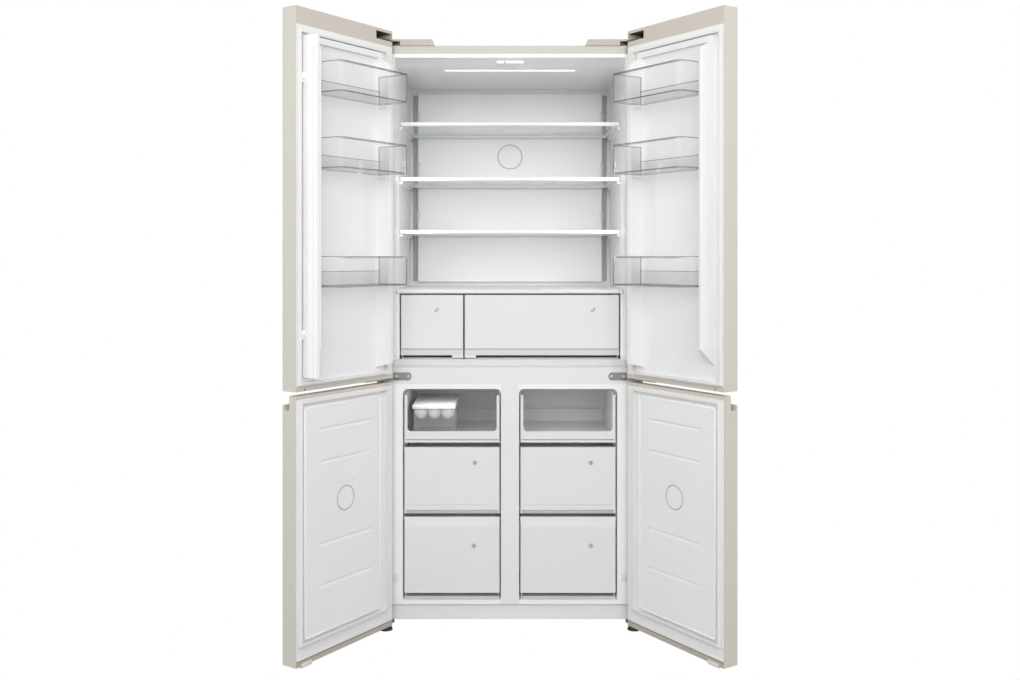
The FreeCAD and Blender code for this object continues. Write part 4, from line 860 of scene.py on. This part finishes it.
@dataclass
class DoorFittings:
    """Fittings of the two doors on one side, placed by (s, d, z) in millimetres."""

    maker: Maker
    side: Side
    recess_box: tuple = ((72.0, 50.0, 23.4), (18.5, -2.4, 1862.0))
    recess_mouths: tuple = (((0.0, 22.0, 0.0), (0, 1, 0)), ((-17.0, 0.0, 0.0), (-1, 0, 0)),
                            ((0.0, 0.0, 1850.8), (0, 0, -1)))
    recess_sheet: float = 0.5
    closer: Pad = Pad((55.0, 9.0, 805.6), (86.0, 26.0, 2.6), 0.6)
    closer_holes: tuple = (Rod((30.0, 9.0, 804.6), 3.0, 4.0), Rod((80.0, 9.0, 804.6), 3.0, 4.0))
    cap_plug: Rod = Rod((361.0, 24.3, 811.5), 2.4, 0.6, 0.2, ALONG_Y)
    bumper: Pad = Pad((352.0, 18.6, 40.0), (44.0, 14.0, 13.0), 3.0)
    bin_bead: Rod = Rod((59.5, 146.1, 41.5), 1.1, 80.0, 0.5, sides=16)
    bin_floors: tuple = (("top", 1642.0), ("middle", 1430.0), ("bottom", 1099.0))
    # A grey ring of painted shade in the lower liner's ring groove.
    liner_shade_ring: Hoop = Hoop((201.5, 32.6, 480.0), 35.2, 1.5)
    skirt: Pad = Pad((187.0, 24.2, 60.0), (410.0, 0.8, 6.8), 0.25, 2)
    # Strip of painted shadow just below the liner's flange.
    seam: Pad = Pad((187.0, 24.2, 55.45), (410.0, 0.8, 2.5), 0.25, 2)
    panel_bars: tuple = (Rod((208.0, 32.1, 115.5), 2.8, 319.0, turn=ALONG_X, sides=20),
                         Rod((208.0, 32.1, 759.5), 2.8, 319.0, turn=ALONG_X, sides=20),
                         Rod((47.5, 32.1, 437.5), 2.8, 642.0, sides=20),
                         Rod((368.5, 32.1, 437.5), 2.8, 642.0, sides=20))
    panel_soft: float = 1.2

    @property
    def place(self) -> Matrix:
        """Place of the open doors' own axes."""
        return DoorPlace(self.side).matrix()

    def build(self) -> None:
        """Make the fittings of both doors."""
        self.seat(self.recess(), "hinge_recess", "upper", "beige_plastic", RECESS_SHADE)
        self.seat(self.closer_plate(), "closer_plate", "upper", "beige_plastic", CLOSER_ZINC)
        self.seat(self.cap_plug.model(), "cap_plug", "upper", "beige_plastic", BLACK_PP)
        self.seat(self.bumper.model(), "door_bumper", "lower", "beige_plastic", BUMPER_PP)
        self.corner_beads()
        self.seat(self.liner_shade_ring.model(), "liner_shade_ring", "lower", "white_door_liner", SHADE_RING_GREY)
        self.seat(self.skirt.model(), "skirt", "lower", "white_door_liner", DOOR_HIPS)
        self.seat(self.seam.model(), "seam", "lower", "white_door_liner", CAP_SHADOW_BROWN)
        # The bead is part of the liner but takes the brightest white, a painted highlight on its
        # ridge.
        self.seat(self.panel_bead(), "panel_bead", "lower", "white_door_liner", BEAM_ABS)

    def seat(self, piece: bpy.types.Object, name: str, door: str, slot: str,
             finish: Finish) -> None:
        """Seat a piece on the upper or lower door.

        Args:
            piece: Piece modelled in the door's own axes.
            name: Piece name without its side.
            door: Upper or lower.
            slot: Material slot.
            finish: Its finish.
        """
        word = self.side.word
        self.maker.deliver(piece, self.place, f"{name}_{word}", f"{door}_{word}_door", slot, finish)

    def recess(self) -> bpy.types.Object:
        """Model the dark sheet of painted shade in the hinge recess of the upper cap.

        Returns:
            The lining, open at the back, the end and below.
        """
        lining = Bench.block(*(scaled(values) for values in self.recess_box))
        for spot, normal in self.recess_mouths:
            Bench.trim(lining, scaled(spot), normal)
        Bench.thicken(lining, self.recess_sheet * MM)
        return lining

    def closer_plate(self) -> bpy.types.Object:
        """Model the steel closer plate under the upper door.

        Returns:
            The plate with its holes.
        """
        plate = self.closer.model()
        for hole in self.closer_holes:
            Bench.carve(plate, hole.model())
        return plate

    def corner_beads(self) -> None:
        """Set an upright dark bead on the hinge-side corner of each door bin, as a painted dark
        reflection.
        """
        s, d, rise = self.bin_bead.centre
        for level, floor in self.bin_floors:
            bead = replace(self.bin_bead, centre=(s, d, floor + rise)).model()
            spot = f"{self.side.word}_{level}"
            self.maker.deliver(bead, self.place, f"corner_bead_{spot}", f"bin_{spot}", "clear_bin",
                               BIN_EDGE_REFLECTION)

    def panel_bead(self) -> bpy.types.Object:
        """Model the round bead along the edge of the lower liner's raised panel.

        Returns:
            The four bars of the bead in one piece.
        """
        bead = Bench.joined([bar.model() for bar in self.panel_bars])
        Bench.soften(bead, self.panel_soft * MM, steps=2)
        return bead


@dataclass
class IceMaker:
    """Ice tray over a clear box, in the left freezer tray; sizes in millimetres."""

    maker: Maker
    x_span: tuple = (-310.0, -174.0)
    y_span: tuple = (42.0, 310.0)
    base: float = 602.5
    rim: float = 712.0
    rim_height: float = 13.0
    cell_depth: float = 34.0
    cells: tuple = (3, 6)
    cell_pitch: float = 0.94
    wall: float = 2.0
    mouth: float = 1.0
    box_inset: float = 8.0
    lid_soft: float = 0.9
    box_soft: float = 0.7

    @property
    def middle(self) -> tuple:
        """Centre of the tray in plan, in metres from the front plane."""
        return sum(self.x_span) / 2 * MM, sum(self.y_span) / 2 * MM

    @property
    def size(self) -> tuple:
        """Width and depth in metres."""
        return (self.x_span[1] - self.x_span[0]) * MM, (self.y_span[1] - self.y_span[0]) * MM

    @property
    def lid_base(self) -> float:
        """Height of the lid's lower edge in millimetres."""
        return self.rim - self.rim_height

    def build(self) -> None:
        """Make the lid, the cups and the box."""
        for piece, name, finish in ((self.lid(), "ice_tray_lid", DRAWER_PP),
                                    (self.cups(), "ice_cups", DRAWER_PP),
                                    (self.box(), "ice_box", ICE_BOX)):
            self.maker.deliver(piece, AT_FRONT, name, "tray_left", "white_drawer", finish)

    def shell(self, inset: float, levels: tuple, opening: Trio, soft: float) -> bpy.types.Object:
        """Model a thin box that is open above or below.

        Args:
            inset: How much narrower it is than the tray.
            levels: Its lower and upper edge.
            opening: Direction of its open side.
            soft: Width of its rounded edges.

        Returns:
            The box with its walls.
        """
        low, high = levels
        plan = (size - inset * MM for size in self.size)
        shell = Bench.block((*plan, (high - low) * MM), (*self.middle, sum(levels) / 2 * MM))
        edge = high - self.mouth if opening[2] > 0 else low + self.mouth
        Bench.trim(shell, (0, 0, edge * MM), opening)
        Bench.thicken(shell, self.wall * MM)
        Bench.soften(shell, soft * MM, steps=2)
        return shell

    def lid(self) -> bpy.types.Object:
        """Model the lid, open below.

        Returns:
            The lid.
        """
        return self.shell(0.0, (self.lid_base, self.rim), (0, 0, -1), self.lid_soft)

    def box(self) -> bpy.types.Object:
        """Model the frosted box that holds the tray up, open above.

        Returns:
            The box.
        """
        return self.shell(self.box_inset, (self.base, self.lid_base - self.mouth), (0, 0, 1),
                          self.box_soft)

    def cups(self) -> bpy.types.Object:
        """Model the round-bottomed cups, each a half bowl closed at the top.

        Returns:
            All cups in one piece.
        """
        cell = [size / count for size, count in zip(self.size, self.cells)]
        radii = (cell[0] / 2, cell[1] / 2, self.cell_depth * MM)
        xs, ys = ([middle + (number - (count - 1) / 2) * pitch * self.cell_pitch
                   for number in range(count)]
                  for middle, count, pitch in zip(self.middle, self.cells, cell))
        return Bench.joined([Bench.bowl(radii, (x, y, self.lid_base * MM)) for x in xs for y in ys])


@dataclass
class Pictograms:
    """Small printed signs on the drawer faces: a snow star and a leaf.

    Shares are of the sign's reach, and of its stroke for a fine stroke.
    """

    maker: Maker
    reach: float = 8.0 * MM
    stroke: float = 1.3 * MM
    print_rise: float = 0.25 * MM
    fine_stroke: float = 0.8
    arms: int = 6
    twig_start: float = 0.6
    twig_shift: float = 0.16
    twig_length: float = 0.34
    leaf_widths: tuple = (0.55, 0.48)
    leaf_lean: float = math.radians(40)
    leaf_sides: int = 36
    vein_length: float = 2.1
    hole_rise: float = 4.0
    star_spots: tuple = (("drawer_middle_left", (-110.5, 12.0, 535.0)),
                         ("drawer_bottom_left", (-113.5, 12.0, 274.0)),
                         ("drawer_middle_right", (254.5, 12.0, 535.0)),
                         ("drawer_bottom_right", (254.5, 12.0, 274.0)))
    leaf_spots: tuple = (("crisper_left", (-233.0, 52.0, 1014.0)),
                         ("crisper_right", (265.0, 52.0, 1014.0)))

    def star(self) -> bpy.types.Object:
        """Model a six-armed snow star that faces -Y.

        Returns:
            The star with its seat at the origin.
        """
        bars = []
        seat = Vector((0, -self.print_rise / 2, 0))
        twig_size = (self.reach * self.twig_length, self.print_rise, self.stroke * self.fine_stroke)
        for arm in range(self.arms):
            turn = arm * math.tau / self.arms
            away = self.direction(turn)
            bars.append(Bench.block((self.reach, self.print_rise, self.stroke),
                                    away * self.reach / 2 + seat, (0, turn, 0)))
            for lean in (-math.pi / 4, math.pi / 4):
                tip = turn + lean
                middle = away * self.twig_start + self.direction(tip) * self.twig_shift
                bars.append(Bench.block(twig_size, middle * self.reach + seat, (0, tip, 0)))
        return Bench.joined(bars)

    @staticmethod
    def direction(turn: float) -> Vector:
        """Find a direction on the printed face.

        Args:
            turn: Angle about Y in radians.

        Returns:
            Unit vector.
        """
        return Vector((math.cos(turn), 0, -math.sin(turn)))

    def oval(self, radius: float, rise: float, width: float) -> bpy.types.Object:
        """Model a leaning oval disc.

        Args:
            radius: Half its length.
            rise: Its thickness.
            width: Its width as a share of its length.

        Returns:
            The disc.
        """
        disc = Bench.round_bar(radius, rise, (0, -self.print_rise / 2, 0), ALONG_Y, self.leaf_sides)
        disc.scale = (width, 1, 1)
        disc.rotation_euler = (0, self.leaf_lean, 0)
        return Bench.settled()

    def leaf(self) -> bpy.types.Object:
        """Model a leaf outline with a vein that faces -Y.

        Returns:
            The leaf with its seat at the origin.
        """
        rise = self.print_rise
        outer, inner = self.leaf_widths
        blade = self.oval(self.reach, rise, outer)
        Bench.carve(blade, self.oval(self.reach - self.stroke, rise * self.hole_rise, inner))
        vein = Bench.block((self.stroke * self.fine_stroke, rise, self.reach * self.vein_length),
                           (0, -rise / 2, 0), (0, self.leaf_lean, 0))
        return Bench.joined([blade, vein])

    def build(self) -> None:
        """Print one sign on each drawer face."""
        for shape, spots in ((self.star, self.star_spots), (self.leaf, self.leaf_spots)):
            for body, spot in spots:
                place = AT_FRONT @ Matrix.Translation(scaled(spot))
                self.maker.deliver(shape(), place, f"sign_{body}", body, "white_drawer", PRINT_GREY)


@dataclass(frozen=True)
class ShadeStrip:
    """Narrow grey strip of painted shade on a face, in millimetres from the front plane."""

    body: str
    span: tuple
    face: float
    levels: tuple
    finish: Finish

    def strip(self, depth: float = 0.6, proud: float = 0.2, soft: float = 0.15) -> Pad:
        """Work out the strip.

        Args:
            depth: Its thickness.
            proud: How far it stands out of the face.
            soft: Width of its rounded edges.

        Returns:
            The strip's shape.
        """
        centre = (sum(self.span) / 2, self.face + depth / 2 - proud, sum(self.levels) / 2)
        size = (self.span[1] - self.span[0], depth, self.levels[1] - self.levels[0])
        return Pad(centre, size, soft, 2)


@dataclass
class FaceShadeLines:
    """Grey strips of painted shade across the crisper, tray and drawer faces."""

    maker: Maker
    shade_strips: tuple = (
        ShadeStrip("crisper_left", (-346.0, -151.0), 52.0, (888.4, 891.4), SHADE_LINE_GREY),
        ShadeStrip("crisper_right", (-143.0, 346.0), 52.0, (888.4, 891.4), SHADE_LINE_GREY),
        ShadeStrip("tray_left", (-327.0, -38.0), 12.0, (606.4, 609.9), SHADE_LINE_GREY),
        ShadeStrip("drawer_middle_left", (-327.0, -38.0), 17.0, (375.6, 386.6), SHADE_LIP_GREY),
        ShadeStrip("tray_right", (38.0, 327.0), 12.0, (606.4, 609.9), SHADE_LINE_GREY),
        ShadeStrip("drawer_middle_right", (38.0, 327.0), 17.0, (375.6, 386.6), SHADE_LIP_GREY),
    )

    def build(self) -> None:
        """Make all strips of painted shade."""
        for shade_strip in self.shade_strips:
            self.maker.deliver(shade_strip.strip().model(), AT_FRONT, f"line_{shade_strip.body}", shade_strip.body,
                               "white_drawer", shade_strip.finish)


@dataclass(frozen=True)
class Lamp:
    """Soft area lamp: where it hangs, what it looks at, its width and height, and its watts."""

    name: str
    place: Trio
    target: Trio
    size: tuple
    power: float

    def on(self, side: Side) -> "Lamp":
        """Give the same lamp on one side.

        Args:
            side: Half that takes it.

        Returns:
            The lamp with its name and places on that side.
        """
        return replace(self, name=f"{self.name}_{side.word}",
                       place=side.mirror(self.place), target=side.mirror(self.target))

    def hang(self) -> None:
        """Put the lamp in the scene."""
        data = bpy.data.lights.new(self.name, "AREA")
        data.shape = "RECTANGLE"
        data.size, data.size_y = self.size
        data.energy = self.power
        lamp = bpy.data.objects.new(self.name, data)
        lamp.visible_camera = False
        lamp.location = self.place
        aim = Vector(self.target) - Vector(self.place)
        lamp.rotation_euler = aim.to_track_quat("-Z", "Y").to_euler()
        bpy.context.scene.collection.objects.link(lamp)


# A broad front fill, a top light, the two walls of the studio and a rim from behind.
STUDIO_LAMPS = (
    Lamp("front_fill", (0.0, -3.9, 2.3), (0.0, 0.0, 1.1), (3.4, 1.8), 96.0),
    Lamp("top_light", (0.0, -1.5, 3.6), (0.0, -0.3, 0.8), (2.6, 1.2), 16.0),
    Lamp("left_wall", (-3.0, -1.8, 1.7), (0.0, 0.0, 1.1), (1.6, 2.6), 15.0),
    Lamp("right_wall", (3.0, -1.8, 1.7), (0.0, 0.0, 1.1), (1.6, 2.6), 15.0),
    Lamp("back_rim", (0.0, 3.0, 3.2), (0.0, 0.3, 1.0), (3.0, 1.6), 45.0),
)
# The refrigerator's own light, given for the right half.
INSIDE_LAMPS = (
    Lamp("inner_column", (0.345, FRONT_Y + 0.035, 1.35), (-0.255, FRONT_Y + 0.43, 1.35),
         (0.02, 0.36), 0.46),
    Lamp("freezer_glow", (0.18, FRONT_Y + 0.025, 0.745), (0.18, FRONT_Y + 0.30, 0.64),
         (0.22, 0.015), 0.09),
    Lamp("middle_glow", (0.18, FRONT_Y + 0.05, 0.5915), (0.18, FRONT_Y + 0.40, 0.52),
         (0.24, 0.006), 0.05),
    Lamp("bottom_glow", (0.18, FRONT_Y + 0.05, 0.3695), (0.18, FRONT_Y + 0.40, 0.31),
         (0.24, 0.006), 0.035),
)


@dataclass
class Studio:
    """Camera, floor and soft light of the photograph; lengths in metres, _px in its pixels."""

    eye: Trio = (0.0, FRONT_Y - 3.300, 1.186)
    focal_px: float = 1052.6
    horizon_px: float = 256.0
    width_px: float = 1020.0
    height_px: float = 680.0
    sensor_mm: float = 36.0
    view_end: float = 50.0
    ambient: float = 0.33
    floor_size: float = 30.0
    floor_colour: str = "B4B4B4"

    def camera(self) -> None:
        """Set a level camera with the photograph's horizon."""
        data = bpy.data.cameras.new("photo_camera")
        data.sensor_width = self.sensor_mm
        data.sensor_fit = "HORIZONTAL"
        data.lens = self.focal_px * self.sensor_mm / self.width_px
        data.shift_y = (self.horizon_px - self.height_px / 2) / self.width_px
        data.clip_end = self.view_end
        camera = bpy.data.objects.new("photo_camera", data)
        camera.location = self.eye
        camera.rotation_euler = ALONG_Y
        bpy.context.scene.collection.objects.link(camera)
        bpy.context.scene.camera = camera

    def lights(self) -> None:
        """Hang the studio's lamps and those inside the refrigerator."""
        for lamp in STUDIO_LAMPS:
            lamp.hang()
        for side in Side:
            for lamp in INSIDE_LAMPS:
                lamp.on(side).hang()

    def white_to_lens(self, tree: bpy.types.NodeTree, own: bpy.types.NodeSocket,
                      white: bpy.types.NodeSocket) -> bpy.types.NodeSocket:
        """Show white to the lens, also in a reflection or a refraction.

        Args:
            tree: Node tree of the floor or the world.
            own: Shader for all other rays.
            white: White shader.

        Returns:
            The two shaders, each for its rays.
        """
        path = add_node(tree, "ShaderNodeLightPath").outputs
        either = add_node(tree, "ShaderNodeMath", {"operation": "MAXIMUM"},
                          {0: path["Is Camera Ray"], 1: path["Is Glossy Ray"]})
        seen = add_node(tree, "ShaderNodeMath", {"operation": "MAXIMUM"},
                        {0: either.outputs[0], 1: path["Is Transmission Ray"]})
        mix = add_node(tree, "ShaderNodeMixShader",
                       links={0: seen.outputs[0], 1: own, 2: white})
        return mix.outputs[0]

    def world(self) -> None:
        """Light softly from all round and show white to the lens."""
        world = bpy.data.worlds.new("studio_world")
        bpy.context.scene.world = world
        world.use_nodes = True
        tree = world.node_tree
        tree.nodes.clear()
        soft = add_node(tree, "ShaderNodeBackground", {"Color": WHITE, "Strength": self.ambient})
        white = add_node(tree, "ShaderNodeBackground", {"Color": WHITE, "Strength": 1.0})
        both = self.white_to_lens(tree, soft.outputs[0], white.outputs[0])
        add_node(tree, "ShaderNodeOutputWorld", links={"Surface": both})

    def floor(self) -> None:
        """Lay a floor that throws soft light up and is white to the lens."""
        Bench.clear()
        bpy.ops.mesh.primitive_plane_add(size=self.floor_size)
        floor = bpy.context.object
        floor.name = "studio_floor"
        material = bpy.data.materials.new("white_paper_floor")
        material.use_nodes = True
        tree = material.node_tree
        tree.nodes.clear()
        paper = add_node(tree, "ShaderNodeBsdfDiffuse", {"Color": linear(self.floor_colour)})
        white = add_node(tree, "ShaderNodeEmission", {"Color": WHITE, "Strength": 1.0})
        both = self.white_to_lens(tree, paper.outputs[0], white.outputs[0])
        add_node(tree, "ShaderNodeOutputMaterial", links={"Surface": both})
        floor.data.materials.append(material)

    def set_up(self) -> None:
        """Build the whole studio."""
        bpy.context.scene.view_settings.view_transform = "Standard"
        self.camera()
        self.lights()
        self.world()
        self.floor()


def main() -> None:
    """Dress the refrigerator and set the studio."""
    logging.basicConfig(level=logging.INFO)
    wardrobe = Wardrobe()
    wardrobe.dress_frame()
    maker = Maker(wardrobe)
    doors = [DoorFittings(maker, side) for side in Side]
    smalls = [kind(maker) for kind in (IceMaker, Pictograms, FaceShadeLines)]
    for group in (CabinetFittings(maker), *doors, *smalls):
        group.build()
    Studio().set_up()


if __name__ == "__main__":
    main()
